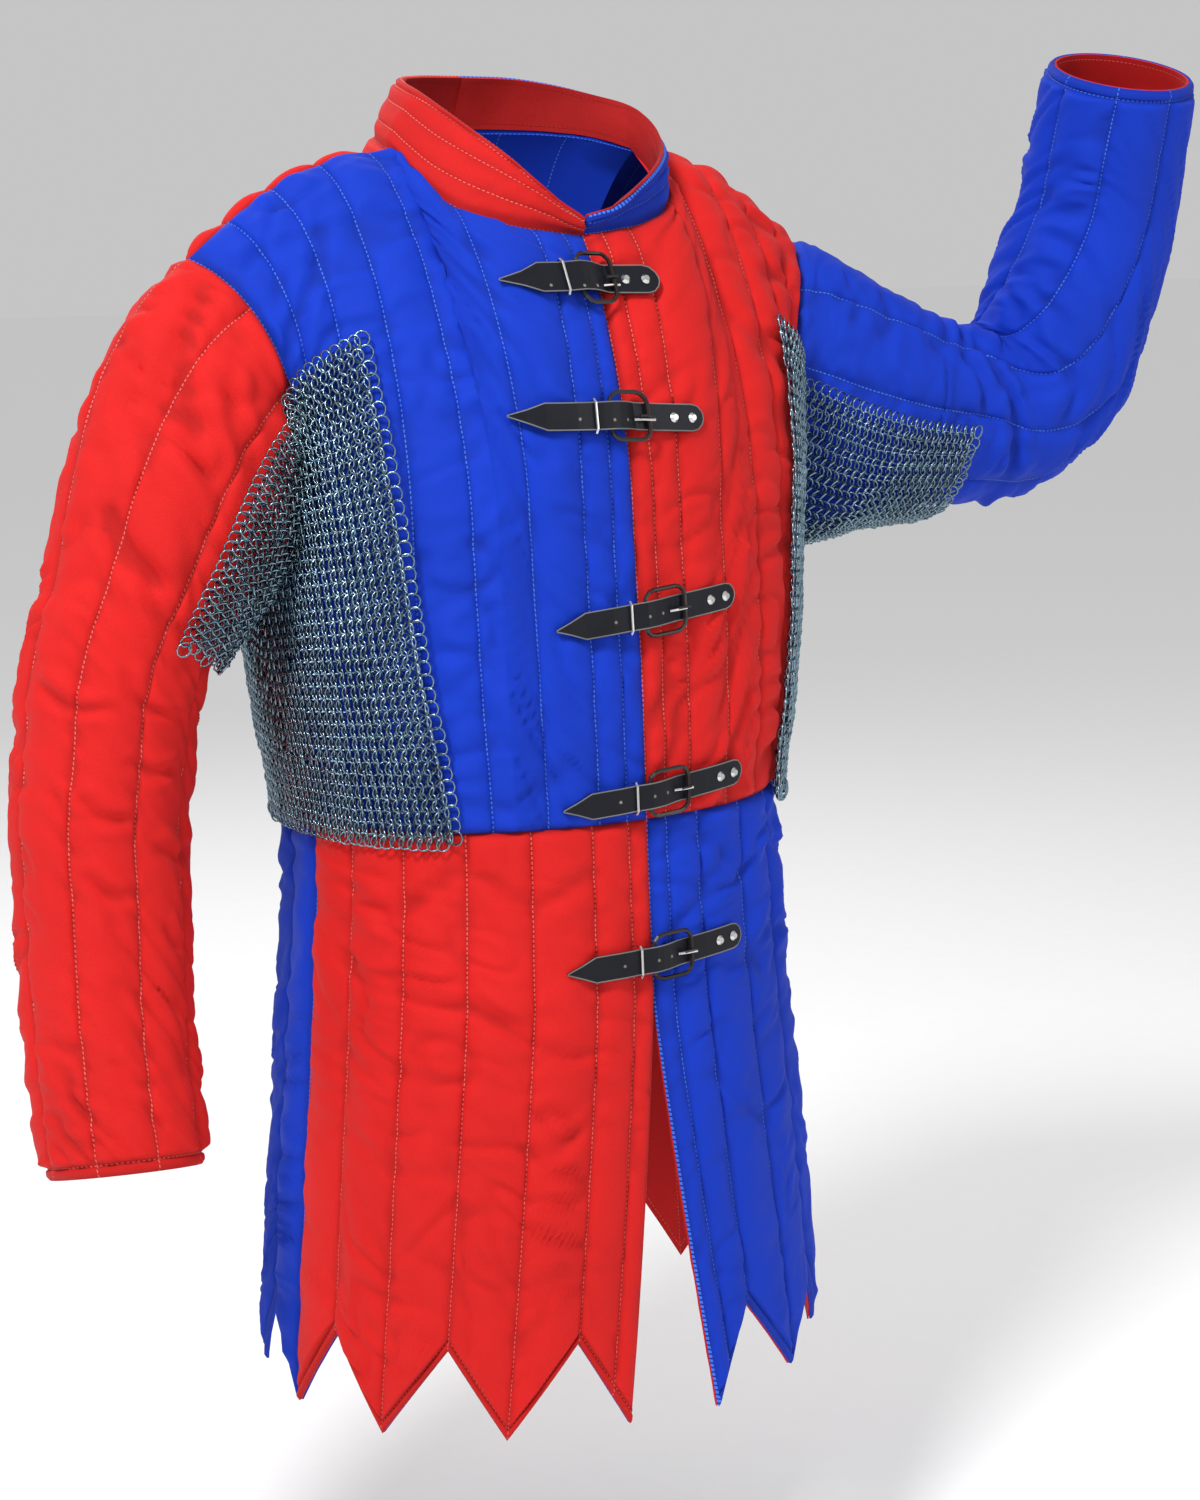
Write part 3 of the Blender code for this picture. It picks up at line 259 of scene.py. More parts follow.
def smoothstep(t: np.ndarray) -> np.ndarray:
    """Rise from 0 to 1 with level ends."""
    t = np.clip(t, 0.0, 1.0)
    return t * t * (3.0 - 2.0 * t)


def unit(vectors: np.ndarray) -> np.ndarray:
    """Scale vectors to length 1."""
    return vectors / np.maximum(np.linalg.norm(vectors, axis=-1, keepdims=True), 1e-12)


def link_piece(name: str, mesh: bpy.types.Mesh) -> bpy.types.Object:
    """Put a mesh into the scene, at the origin.

    Args:
        name: Name of the object.
        mesh: Its mesh.

    Returns:
        The object.
    """
    piece = bpy.data.objects.new(name, mesh)
    bpy.context.scene.collection.objects.link(piece)
    return piece


def declare(piece: bpy.types.Object) -> None:
    """Fix a piece to the garment."""
    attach(piece, "root")


def surface_tree(name: str) -> BVHTree:
    """Search tree over a CAD node's surface.

    Args:
        name: Name of the node.

    Returns:
        The tree.
    """
    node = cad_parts[name]
    corners = [node.matrix_world @ vertex.co for vertex in node.data.vertices]
    return BVHTree.FromPolygons(corners, [tuple(face.vertices) for face in node.data.polygons])


def arc(points: np.ndarray, axis: int) -> np.ndarray:
    """Measure the length run along one axis of a grid of points.

    Args:
        points: Grid of points, rows by columns by 3.
        axis: 0 for down the columns, 1 for across the rows.

    Returns:
        Length from the grid's first edge at each point.
    """
    steps = np.linalg.norm(np.diff(points, axis=axis), axis=-1)
    start = np.zeros_like(steps[:1] if axis == 0 else steps[:, :1])
    return np.concatenate([start, np.cumsum(steps, axis=axis)], axis=axis)


def lattice_noise(x: np.ndarray, y: np.ndarray, seed: int) -> np.ndarray:
    """Smooth noise from -1 to 1 on a repeating lattice.

    Args:
        x: First coordinate, in cells.
        y: Second coordinate, in cells.
        seed: Picks the lattice.

    Returns:
        Noise at each point.
    """
    table = np.random.RandomState(seed).uniform(-1.0, 1.0, (64, 64))
    x, y = np.broadcast_arrays(np.asarray(x, float), np.asarray(y, float))
    i, j = np.floor(x).astype(int), np.floor(y).astype(int)
    fx, fy = smoothstep(x - i), smoothstep(y - j)
    a, b = table[i % 64, j % 64], table[(i + 1) % 64, j % 64]
    c, d = table[i % 64, (j + 1) % 64], table[(i + 1) % 64, (j + 1) % 64]
    return (a * (1 - fx) + b * fx) * (1 - fy) + (c * (1 - fx) + d * fx) * fy


def quarter_ring(z: np.ndarray, share: np.ndarray) -> tuple[np.ndarray, np.ndarray]:
    """Read the front quarter of the body's section.

    Args:
        z: Height of the section.
        share: Share of the quarter's length, from the front's middle.

    Returns:
        Half width x and depth y there.
    """
    z, share = np.broadcast_arrays(np.asarray(z, float), np.asarray(share, float))
    half = smooth_table(BODY_SECTIONS, z)
    phi = np.linspace(0.0, math.pi / 2, 41)
    xs = half[..., 0:1] * np.sin(phi) ** (2 / RING_POWER)
    ys = half[..., 1:2] * np.cos(phi) ** (2 / RING_POWER)
    steps = np.hypot(np.diff(xs, axis=-1), np.diff(ys, axis=-1))
    reach = np.concatenate([np.zeros(steps.shape[:-1] + (1,)), np.cumsum(steps, axis=-1)], axis=-1)
    goal = np.clip(share, 0.0, 1.0)[..., None] * reach[..., -1:]
    low = np.clip((reach <= goal).sum(axis=-1) - 1, 0, len(phi) - 2)[..., None]
    r0 = np.take_along_axis(reach, low, -1)
    r1 = np.take_along_axis(reach, low + 1, -1)
    t = (goal - r0) / (r1 - r0)
    x = np.take_along_axis(xs, low, -1) * (1 - t) + np.take_along_axis(xs, low + 1, -1) * t
    y = np.take_along_axis(ys, low, -1) * (1 - t) + np.take_along_axis(ys, low + 1, -1) * t
    return x[..., 0], y[..., 0]


class Side(Enum):
    """A side of the wearer; the value is the sign of x."""

    LEFT = 1
    RIGHT = -1

    @property
    def word(self) -> str:
        """Name as it stands in the node names."""
        return self.name.lower()


@dataclass
class Upper:
    """Inner face of one upper panel on the +X side, from its top edge down to the waist."""

    front: bool

    def point(self, u: np.ndarray, v: np.ndarray) -> np.ndarray:
        """Find points of the face.

        Args:
            u: Share across, from the middle to the side.
            v: Share down, from the top edge to the waist.

        Returns:
            Points in metres.
        """
        u, v = np.broadcast_arrays(np.asarray(u, float), np.asarray(v, float))
        sign = -1.0 if self.front else 1.0
        neck = smooth_table(FRONT_NECK if self.front else BACK_NECK, u)
        start = np.where((u <= NECK_SHARE)[..., None], neck, smooth_table(SHOULDER, u))
        handle = smooth_table(FRONT_HANDLES if self.front else BACK_HANDLES, u)
        chest_z = CHEST_Z - UNDERARM_DROP * u**2
        x, y = quarter_ring(chest_z, u)
        end = np.stack([x, sign * y, chest_z], -1)
        t = np.clip(v / CHEST_SHARE, 0.0, 1.0)[..., None]
        curve = ((1 - t) ** 3 * start + 3 * t * (1 - t) ** 2 * (start + handle[..., :3])
                 + 3 * t**2 * (1 - t) * (end + handle[..., 3:]) + t**3 * end)
        down = np.clip((v - CHEST_SHARE) / (1 - CHEST_SHARE), 0.0, 1.0)
        z = chest_z + (WAIST_Z - chest_z) * down
        x, y = quarter_ring(z, u)
        low = np.stack([x, sign * y, z], -1)
        return np.where((v <= CHEST_SHARE)[..., None], curve, low)


@dataclass
class Skirt:
    """Inner face of one skirt panel on the +X side, from the waist to the dagged hem."""

    front: bool
    slit_half: float = 0.0
    flare: float = 0.0

    def hem(self, u: np.ndarray) -> np.ndarray:
        """Height of the dagged hem at a share across.

        Args:
            u: Shares across.

        Returns:
            Heights.
        """
        beat = SKIRT_FRONT_CHANNELS * u if self.front else SKIRT_BACK_CHANNELS * (1.0 - u)
        fall = 1.0 - np.abs((beat % 2.0) - 1.0)
        return TIP_Z + (NOTCH_Z - TIP_Z) * fall

    def point(self, u: np.ndarray, v: np.ndarray) -> np.ndarray:
        """Find points of the face.

        Args:
            u: Share across, from the middle to the side.
            v: Share down, from the waist to the hem.

        Returns:
            Points in metres.
        """
        u, v = np.broadcast_arrays(np.asarray(u, float), np.asarray(v, float))
        z = WAIST_Z + (self.hem(u) - WAIST_Z) * v
        opened = np.clip((SLIT_TOP_Z - z) / (SLIT_TOP_Z - TIP_Z), 0.0, 1.0) ** 1.1
        first = self.slit_half * opened
        x, y = quarter_ring(z, first + (1 - first) * u)
        y = y + self.flare * np.clip(1 - u / 0.3, 0.0, 1.0) ** 2 * opened
        return np.stack([x, (-1.0 if self.front else 1.0) * y, z], -1)


@dataclass
class Sleeve:
    """Inner face of one sleeve on the +X side; a runs round from the shoulder by the front."""

    sections: Table
    twist: float

    def armhole(self, a: np.ndarray) -> np.ndarray:
        """Point of the armhole seam at a share round.

        Args:
            a: Shares round.

        Returns:
            Points in metres.
        """
        a = np.asarray(a, float) % 1.0
        v = np.where(a <= 0.5, a, 1.0 - a) * 2.0 * CHEST_SHARE
        ones = np.ones_like(a)
        front, back = Upper(True).point(ones, v), Upper(False).point(ones, v)
        return np.where((a <= 0.5)[..., None], front, back)

    def frame(self, s: np.ndarray) -> tuple[np.ndarray, ...]:
        """Place and size of the section at a share along.

        Args:
            s: Shares along.

        Returns:
            Centre, high, deep and along axes, half height and half depth.
        """
        row = smooth_table(self.sections, s)
        lean, swing = np.radians(row[..., 3]), np.radians(row[..., 4])
        along = np.stack([np.cos(lean) * np.cos(swing), -np.sin(swing),
                          np.sin(lean) * np.cos(swing)], -1)
        high = np.stack([-np.sin(lean), np.zeros_like(lean), np.cos(lean)], -1)
        return row[..., :3], high, np.cross(along, high), along, row[..., 5], row[..., 6]

    def point(self, a: np.ndarray, s: np.ndarray) -> np.ndarray:
        """Find points of the face.

        Args:
            a: Share round.
            s: Share along, from the armhole to the cuff.

        Returns:
            Points in metres.
        """
        a, s = np.broadcast_arrays(np.asarray(a, float), np.asarray(s, float))
        centre0, high0, deep0, along0, _, _ = self.frame(np.zeros_like(s))
        offset = self.armhole(a) - centre0
        local = [(offset * axis).sum(-1) for axis in (high0, deep0, along0)]
        centre, high, deep, along, tall, wide = self.frame(s)
        angle = 2 * math.pi * a + self.twist * smoothstep((s - 0.3) / 0.5)
        low = (0.5 - 0.5 * np.cos(2 * math.pi * a)) ** 2
        blend = smoothstep(s / (ARMHOLE_BLEND + (UNDERARM_BLEND - ARMHOLE_BLEND) * low))
        e1 = (1 - blend) * local[0] + blend * tall * np.cos(angle)
        e2 = (1 - blend) * local[1] + blend * wide * np.sin(angle)
        e3 = (1 - blend) * local[2]
        return centre + e1[..., None] * high + e2[..., None] * deep + e3[..., None] * along


@dataclass
class Collar:
    """Inner face of one collar half on the +X side; u from the back's middle, v up."""

    top: Table
    ease: float
    bulge: float

    def point(self, u: np.ndarray, v: np.ndarray) -> np.ndarray:
        """Find points of the face.

        Args:
            u: Share round from the back's middle to the front.
            v: Share up from the neck seam.

        Returns:
            Points in metres.
        """
        u, v = np.broadcast_arrays(np.asarray(u, float), np.asarray(v, float))
        back = smooth_table(BACK_NECK, NECK_SHARE * np.clip(u / 0.5, 0, 1))
        front = smooth_table(FRONT_NECK, NECK_SHARE * np.clip((1 - u) / 0.5, 0, 1))
        low = np.where((u < 0.5)[..., None], back, front)
        high = smooth_table(self.top, u)
        rise = np.stack([v**self.ease, v**self.ease, v], -1)
        outward = unit(np.stack([low[..., 0], low[..., 1], np.zeros_like(v)], -1))
        return low + (high - low) * rise + outward * (self.bulge * np.sin(math.pi * v))[..., None]


def channel_lines(channels: int, strip: float) -> np.ndarray:
    """Shares of a panel's stitch lines.

    Args:
        channels: Number of channels.
        strip: Share of the narrow edge strip, or 0.

    Returns:
        Shares from 0 to 1.
    """
    edge = [strip] if strip > 0 else []
    return np.array([0.0, *edge, *(k / channels for k in range(1, channels + 1))])


def dense_columns(lines: np.ndarray, steps: int) -> np.ndarray:
    """Sample between stitch lines, closer together beside each line.

    Args:
        lines: Shares of the lines.
        steps: Samples in a full channel.

    Returns:
        Shares from the first line to the last.
    """
    full = np.diff(lines).max()
    columns = [lines[:1]]
    for first, second in zip(lines[:-1], lines[1:]):
        count = max(4, int(round(steps * min(1.0, (second - first) / full))))
        w = np.linspace(0.0, 1.0, count + 1)[1:]
        w = 0.55 * w + 0.45 * (0.5 - 0.5 * np.cos(math.pi * w))
        columns.append(first + (second - first) * w)
    return np.concatenate(columns)


def grid_normals(points: np.ndarray, wrap: bool = False) -> np.ndarray:
    """Unit normals of a grid, not yet turned outward.

    Args:
        points: Grid of points.
        wrap: Whether the last column meets the first one at the same place.

    Returns:
        Normals at the points.
    """
    down = np.gradient(points, axis=0)
    across = np.gradient(points, axis=1)
    if wrap:
        across[:, 0] = across[:, -1] = (points[:, 1] - points[:, -2]) / 2
    return unit(np.cross(across, down))


@dataclass(frozen=True)
class Crease:
    """A fold pressed into the cloth between two places on a panel."""

    u0: float
    v0: float
    u1: float
    v1: float
    width: float
    depth: float


@dataclass
class Quilting:
    """Raised form of a quilted panel: channels, puckers by the stitches, lumps and wrinkles."""

    crown: float = CROWN_THICK
    stitch: float = STITCH_THICK
    full_width: float = 0.034
    round_power: float = 0.55
    pucker: float = 0.0010
    fine_pitch: float = 0.0045
    broad_pitch: float = 0.0115
    lump: float = 0.0011
    wrinkle: float = 0.0019
    wrinkle_pitch: float = 0.013
    furrow: float = 0.0034
    furrow_pitch: float = 0.024

    def height(self, across: np.ndarray, along: np.ndarray, lines: np.ndarray, seed: int,
               creases: tuple[Crease, ...], place: tuple[np.ndarray, np.ndarray],
               size: tuple[float, float]) -> tuple[np.ndarray, np.ndarray]:
        """Work out the wall's thickness.

        Args:
            across: Distance across at each point, in metres.
            along: Distance along at each point, in metres.
            lines: Column numbers of the stitch lines.
            seed: Picks the panel's own irregularity.
            creases: Listed folds.
            place: Shares across and along at each point, for the creases.
            size: Panel's size in metres, for the creases.

        Returns:
            Thickness and distance to the nearest stitch line.
        """
        columns = np.arange(across.shape[1])
        left = lines[np.clip(np.searchsorted(lines, columns, side="right") - 1, 0, len(lines) - 2)]
        right = lines[np.clip(np.searchsorted(lines, columns, side="right"), 1, len(lines) - 1)]
        from_left = across - across[:, left]
        to_right = across[:, right] - across
        width = np.maximum(from_left + to_right, 1e-6)
        w = from_left / width
        near_left = from_left <= to_right
        distance = np.where(near_left, from_left, to_right)
        swell = np.sin(math.pi * np.clip(w, 0, 1)) ** self.round_power
        full = np.clip(width / self.full_width, 0.35, 1.0) ** 0.8
        thick = self.stitch + (self.crown - self.stitch) * swell * full
        line = np.where(near_left, left[None, :], right[None, :])
        # Puckers run off the stitches and fade before the middle of the channel
        start = (1 - np.exp(-distance / 0.0012)) * (1 - np.clip(2 * distance / width, 0, 1) ** 3)
        fine = lattice_noise(along / self.fine_pitch, line * 7.31, seed)
        broad = lattice_noise((along + 0.3 * distance) / self.broad_pitch,
                              line * 3.7 + distance / 0.05, seed + 1)
        thick += self.pucker * start * np.exp(-distance / 0.0055) * fine
        thick += 1.9 * self.pucker * start * np.exp(-distance / 0.0130) * broad
        thick += self.lump * swell * lattice_noise(across / 0.028, along / 0.052, seed + 2)
        # Wrinkles lie a little aslant, in patches
        sway = lattice_noise(across / 0.05, along / 0.06, seed + 3)
        slant = along + 0.35 * across + 0.012 * sway
        ridge = lattice_noise(across / 0.052, slant / self.wrinkle_pitch, seed + 4)
        patch = 0.55 + 0.45 * lattice_noise(across / 0.11, along / 0.09, seed + 5)
        thick += self.wrinkle * swell * patch * (np.abs(ridge) * 1.6 - 0.5)
        # Furrows cross the stitches, with a soft roll on both sides
        sway = lattice_noise(across / 0.04, along / 0.045, seed + 6)
        drift = along + 0.25 * across + 0.010 * sway
        valley = np.abs(lattice_noise(across / 0.045, drift / self.furrow_pitch, seed + 7))
        depth = self.furrow * (0.35 + 0.65 * swell) * patch
        thick -= depth * np.exp(-(valley / 0.21) ** 2)
        thick += 0.7 * depth * np.exp(-((valley - 0.48) / 0.22) ** 2)
        for crease in creases:
            thick += crease_height(crease, place, size) * (0.45 + 0.55 * swell)
        return np.maximum(thick, LEAST_THICK), distance


def crease_height(crease: Crease, place: tuple[np.ndarray, np.ndarray],
                  size: tuple[float, float]) -> np.ndarray:
    """Height that one fold adds: a furrow with a soft roll beside it.

    Args:
        crease: The fold.
        place: Shares across and along at each point.
        size: Panel's size in metres.

    Returns:
        Height in metres.
    """
    x = (place[0] - crease.u0) * size[0]
    y = (place[1] - crease.v0) * size[1]
    dx, dy = (crease.u1 - crease.u0) * size[0], (crease.v1 - crease.v0) * size[1]
    long = math.hypot(dx, dy)
    t = (x * dx + y * dy) / long
    off = (x * dy - y * dx) / long + 0.12 * long * np.sin(math.pi * np.clip(t / long, 0, 1)) ** 2
    end = smoothstep(t / (0.25 * long) + 0.3) * smoothstep((long - t) / (0.35 * long) + 0.3)
    furrow = -np.exp(-(off / crease.width) ** 2)
    roll = 0.75 * np.exp(-((off - 1.9 * crease.width) / (1.25 * crease.width)) ** 2)
    other = 0.35 * np.exp(-((off + 1.8 * crease.width) / (1.1 * crease.width)) ** 2)
    return crease.depth * end * (furrow + roll + other)


@dataclass(frozen=True)
class SeamLines:
    """Directions in which the walls stand where pieces are sewn together, by share."""

    share: np.ndarray
    front_top: np.ndarray
    back_top: np.ndarray
    down: np.ndarray
    front_side: np.ndarray
    back_side: np.ndarray
    round: np.ndarray
    armhole: np.ndarray
    collar_share: np.ndarray
    collar_base: np.ndarray

    @staticmethod
    def read(at: np.ndarray, keys: np.ndarray, values: np.ndarray) -> np.ndarray:
        """Directions between the known ones."""
        return unit(np.stack([np.interp(at, keys, values[:, k]) for k in range(3)], -1))


def turned(normals: np.ndarray, outward: np.ndarray) -> np.ndarray:
    """Normals turned to agree with an outward direction on the whole."""
    return normals if (normals * outward).sum() > 0 else -normals


def find_seams(sleeve: Sleeve, collar: Collar) -> SeamLines:
    """Work out the walls' directions along one side's seams.

    Args:
        sleeve: The side's sleeve.
        collar: The side's collar half.

    Returns:
        Directions by share along each seam.
    """
    share = np.linspace(0.0, 1.0, 61)
    rows = np.linspace(0.0, 1.0, 3 * (ARMHOLE_STEPS + SIDE_STEPS) + 1)
    last = 3 * ARMHOLE_STEPS
    share[np.abs(share - NECK_SHARE).argmin()] = NECK_SHARE
    corner = int(np.searchsorted(share, NECK_SHARE))
    u, v = np.meshgrid(share, rows)
    front, back = Upper(True).point(u, v), Upper(False).point(u, v)
    fn = turned(grid_normals(front), FRONT_OUT)
    bn = turned(grid_normals(back), BACK_OUT)
    a, s = np.meshgrid(np.linspace(0, 1, 2 * last + 1), np.linspace(0, 1, SLEEVE_STEPS + 1))
    arm = sleeve.point(a, s)
    an = turned(grid_normals(arm, True), arm - arm[:, :-1].mean(axis=1, keepdims=True))[0]
    neck = share[share <= NECK_SHARE] / NECK_SHARE * 0.5
    round_neck = np.concatenate([neck, 1.0 - neck[-2::-1]])
    cu, cv = np.meshgrid(round_neck, np.linspace(0, 1, 13))
    stand = collar.point(cu, cv)
    cn = turned(grid_normals(stand), stand * LEVEL)[0]
    for k in range(corner + 1):
        for panel, j in ((bn, k), (fn, -1 - k)):
            joined = panel[0, k] + cn[j]
            if k == corner:
                joined = fn[0, k] + bn[0, k] + 2 * cn[k]
            joined = unit(joined * np.array([k > 0, 1.0, 1.0]))
            cn[j] = joined
            panel[0, k] = joined
    fn[0, corner] = bn[0, corner]
    for panel, points in ((fn, front), (bn, back)):
        tilt = unit(np.gradient(points[0], axis=0))
        up = unit(np.stack([-tilt[:, 2], 0 * tilt[:, 0], tilt[:, 0]], -1))
        past = smoothstep((share - NECK_SHARE) / SHOULDER_FADE)[corner + 1:, None]
        panel[0, corner + 1:] = unit(panel[0, corner] * (1 - past) + up[corner + 1:] * past)
    for i in range(last + 1):
        fn[i, -1] = unit(fn[i, -1] + an[i])
        an[i] = fn[i, -1]
    for i in range(last + 1):
        bn[i, -1] = unit(bn[i, -1] + an[2 * last - i])
        an[2 * last - i] = bn[i, -1]
    fn[0, -1] = bn[0, -1] = an[0] = an[-1] = unit(fn[0, -1] + bn[0, -1])
    fn[last, -1] = bn[last, -1] = an[last] = unit(fn[last, -1] + bn[last, -1])
    fn[last + 1:, -1] = bn[last + 1:, -1] = np.array([1.0, 0.0, 0.0])
    return SeamLines(share, fn[0], bn[0], rows, fn[:, -1], bn[:, -1], a[0], an, round_neck, cn)


@dataclass
class Cloth:
    """A sampled piece of cloth: inner points, normals, thickness and where its stitches run."""

    name: str
    points: np.ndarray
    normals: np.ndarray
    lines: np.ndarray
    across: np.ndarray
    along: np.ndarray
    thick: np.ndarray
    stitch: np.ndarray
    wrap: bool = False
    border: np.ndarray | None = None

    def blend_edge(self, edge: str, goal: np.ndarray, reach: float) -> None:
        """Turn the normals near an edge towards the seam's own direction.

        Args:
            edge: top, bottom, first or last.
            goal: Direction at each point of the edge.
            reach: Distance over which the turn fades, in metres.
        """
        gap = self.distance(edge)
        share = smoothstep(1.0 - gap / reach)[..., None]
        goal = goal[None, :, :] if edge in ("top", "bottom") else goal[:, None, :]
        self.normals = unit(self.normals * (1 - share) + goal * share)

    def distance(self, edge: str) -> np.ndarray:
        """Distance of each point from an edge, in metres."""
        return {"top": self.along, "bottom": self.along[-1:] - self.along,
                "first": self.across, "last": self.across[:, -1:] - self.across}[edge]

    def pinch(self, edge: str, reach: float, thick: float = SEAM_THICK) -> None:
        """Thin the wall towards an edge where it is sewn."""
        share = smoothstep(self.distance(edge) / reach)
        self.thick = thick + (self.thick - thick) * np.sqrt(share + 1e-9)

    def hem(self, edge: str, setback: float = 0.0085, thick: float = 0.0042) -> None:
        """Turn a free edge: a flat rounded border with a row of stitching.

        Args:
            edge: top, bottom, first or last.
            setback: Distance of the stitching from the edge.
            thick: Border's thickness.
        """
        gap = self.distance(edge)
        inside = smoothstep((gap - setback) / 0.004)
        border = thick * (1.0 - 0.55 * np.exp(-(gap / 0.0018) ** 2))
        groove = 0.0022 * np.exp(-((gap - setback) / 0.0011) ** 2)
        self.thick = np.maximum(border * (1 - inside) + self.thick * inside - groove, LEAST_THICK)
        run = self.across if edge in ("top", "bottom") else self.along
        self.border = np.stack([gap - setback, run], -1)

    def outer(self) -> np.ndarray:
        """Points of the outer face."""
        return self.points + self.normals * self.thick[..., None]


def sample_cloth(name: str, shape: Upper | Skirt | Sleeve | Collar, lines: np.ndarray, steps: int,
                 rows: np.ndarray, outward: np.ndarray | None, quilting: Quilting, seed: int,
                 creases: tuple[Crease, ...] = (), wrap: bool = False) -> Cloth:
    """Sample a shape finely and raise its quilting.

    Args:
        name: Name of the piece.
        shape: Surface with a point method.
        lines: Shares of the stitch lines.
        steps: Samples in a channel.
        rows: Shares along.
        outward: Rough outward direction, or None for a tube.
        quilting: Form of the padding.
        seed: Picks the panel's irregularity.
        creases: Listed folds.
        wrap: Whether the piece is a tube.

    Returns:
        The sampled cloth.
    """
    columns = dense_columns(lines, steps)
    marks = np.abs(columns[None, :] - lines[:, None]).argmin(axis=1)
    u, v = np.meshgrid(columns, rows)
    points = shape.point(u, v)
    normals = grid_normals(points, wrap)
    away = points - points[:, :-1].mean(axis=1, keepdims=True) if outward is None else outward
    normals = turned(normals, away)
    across, along = arc(points, 1), arc(points, 0)
    size = (float(across[:, -1].mean()), float(along[-1].mean()))
    thick, stitch = quilting.height(across, along, marks, seed, creases, (u, v), size)
    if wrap:
        joined, fade = (thick[:, :1] + thick[:, -1:]) / 2, 0.008
        thick = (thick + (joined - thick[:, :1]) * np.exp(-across / fade)
                 + (joined - thick[:, -1:]) * np.exp(-(across[:, -1:] - across) / fade))
        thick[:, 0] = thick[:, -1] = joined[:, 0]
    seam = np.stack([stitch, along], -1)
    return Cloth(name, points, normals, marks, across, along, thick, seam, wrap)


def even_rows(length: float, pitch: float, fine_end: float = 0.0) -> np.ndarray:
    """Shares along a panel, closer together over the last few millimetres.

    Args:
        length: Panel's length in metres.
        pitch: Distance between rows.
        fine_end: Length at the end whose rows are finer.

    Returns:
        Shares from 0 to 1.
    """
    start = np.linspace(0.0, 1.0 - fine_end / length, int((length - fine_end) / pitch) + 1)
    if fine_end <= 0:
        return start
    end = np.linspace(start[-1], 1.0, int(fine_end / FINE_PITCH) + 1)
    return np.concatenate([start, end[1:]])


def zip_edge(outer: list, inner: list, match: list) -> list:
    """Triangles between a fine outer edge and a coarse inner edge.

    Args:
        outer: Vertex numbers of the fine edge.
        inner: Vertex numbers of the coarse edge.
        match: Position in outer beside each of inner.

    Returns:
        Triangles.
    """
    faces = []
    for k in range(len(inner) - 1):
        middle = (match[k] + match[k + 1]) // 2
        faces += [(inner[k], outer[i], outer[i + 1]) for i in range(match[k], middle)]
        faces.append((inner[k], outer[middle], inner[k + 1]))
        faces += [(inner[k + 1], outer[i], outer[i + 1]) for i in range(middle, match[k + 1])]
    return faces


def every(count: int, step: int) -> list:
    """Numbers from 0 to count - 1 by a step, with the last one kept."""
    rows = list(range(0, count, step))
    return rows if rows[-1] == count - 1 else rows + [count - 1]


def make_wall(cloth: Cloth, side: Side, look: bpy.types.Material,
              row_step: int = INNER_ROW_STEP) -> bpy.types.Object:
    """Build a closed wall of cloth with a fine outer face and a coarser inner one.

    Args:
        cloth: The sampled piece.
        side: Side of the wearer it is on.
        look: Its material.
        row_step: Rows of the outer face to one of the inner face.

    Returns:
        The object.
    """
    flip = np.array([side.value, 1.0, 1.0])
    rows = every(cloth.points.shape[0], row_step)
    columns = sorted(set(every(cloth.points.shape[1], INNER_COLUMN_STEP))
                     | set(cloth.lines.tolist()))
    outer = cloth.outer() * flip
    inner = (cloth.points * flip)[np.ix_(rows, columns)]
    count = outer[..., 0].size
    outer_ids = np.arange(count).reshape(outer.shape[:2])
    inner_ids = count + np.arange(inner[..., 0].size).reshape(inner.shape[:2])
    faces = []
    for ids in (outer_ids, inner_ids):
        quads = np.stack([ids[:-1, :-1], ids[:-1, 1:], ids[1:, 1:], ids[1:, :-1]], -1)
        faces += quads.reshape(-1, 4).tolist()
    for edge in (0, -1):
        faces += zip_edge(outer_ids[edge].tolist(), inner_ids[edge].tolist(), columns)
        if not cloth.wrap:
            faces += zip_edge(outer_ids[:, edge].tolist(), inner_ids[:, edge].tolist(), rows)
    points = np.concatenate([outer.reshape(-1, 3), inner.reshape(-1, 3)])
    mesh = bpy.data.meshes.new(cloth.name)
    mesh.from_pydata(points.tolist(), [], faces)
    plane = np.stack([cloth.across, cloth.along], -1)
    border = np.ones_like(plane) if cloth.border is None else cloth.border
    loops = np.zeros(len(mesh.loops), dtype=np.int64)
    mesh.loops.foreach_get("vertex_index", loops)
    for layer, grid in (("Cloth", plane), ("Stitch", cloth.stitch), ("Border", border)):
        values = np.concatenate([grid.reshape(-1, 2), grid[np.ix_(rows, columns)].reshape(-1, 2)])
        made = mesh.uv_layers.new(name=layer)
        made.data.foreach_set("uv", values[loops].astype(np.float32).ravel())
    # Painted shade: the thinner the cloth (valleys, stitch lines, seams, hems, linings), the
    # darker the material paints it; the inner face is not darkened
    tone = np.clip((cloth.thick - SHADE_THICK) / (CROWN_THICK - SHADE_THICK), 0.0, 1.2)
    tone = np.concatenate([tone.ravel(), np.full(inner[..., 0].size, INNER_SHADE)])
    made = mesh.attributes.new("relief_shade", "FLOAT", "POINT")
    made.data.foreach_set("value", tone.astype(np.float32))
    shell = bmesh.new()
    shell.from_mesh(mesh)
    bmesh.ops.remove_doubles(shell, verts=shell.verts, dist=1e-6)
    bmesh.ops.recalc_face_normals(shell, faces=shell.faces)
    shell.to_mesh(mesh)
    shell.free()
    mesh.materials.append(look)
    mesh.shade_smooth()
    mesh.set_sharp_from_angle(angle=math.radians(70))
    return link_piece(cloth.name, mesh)


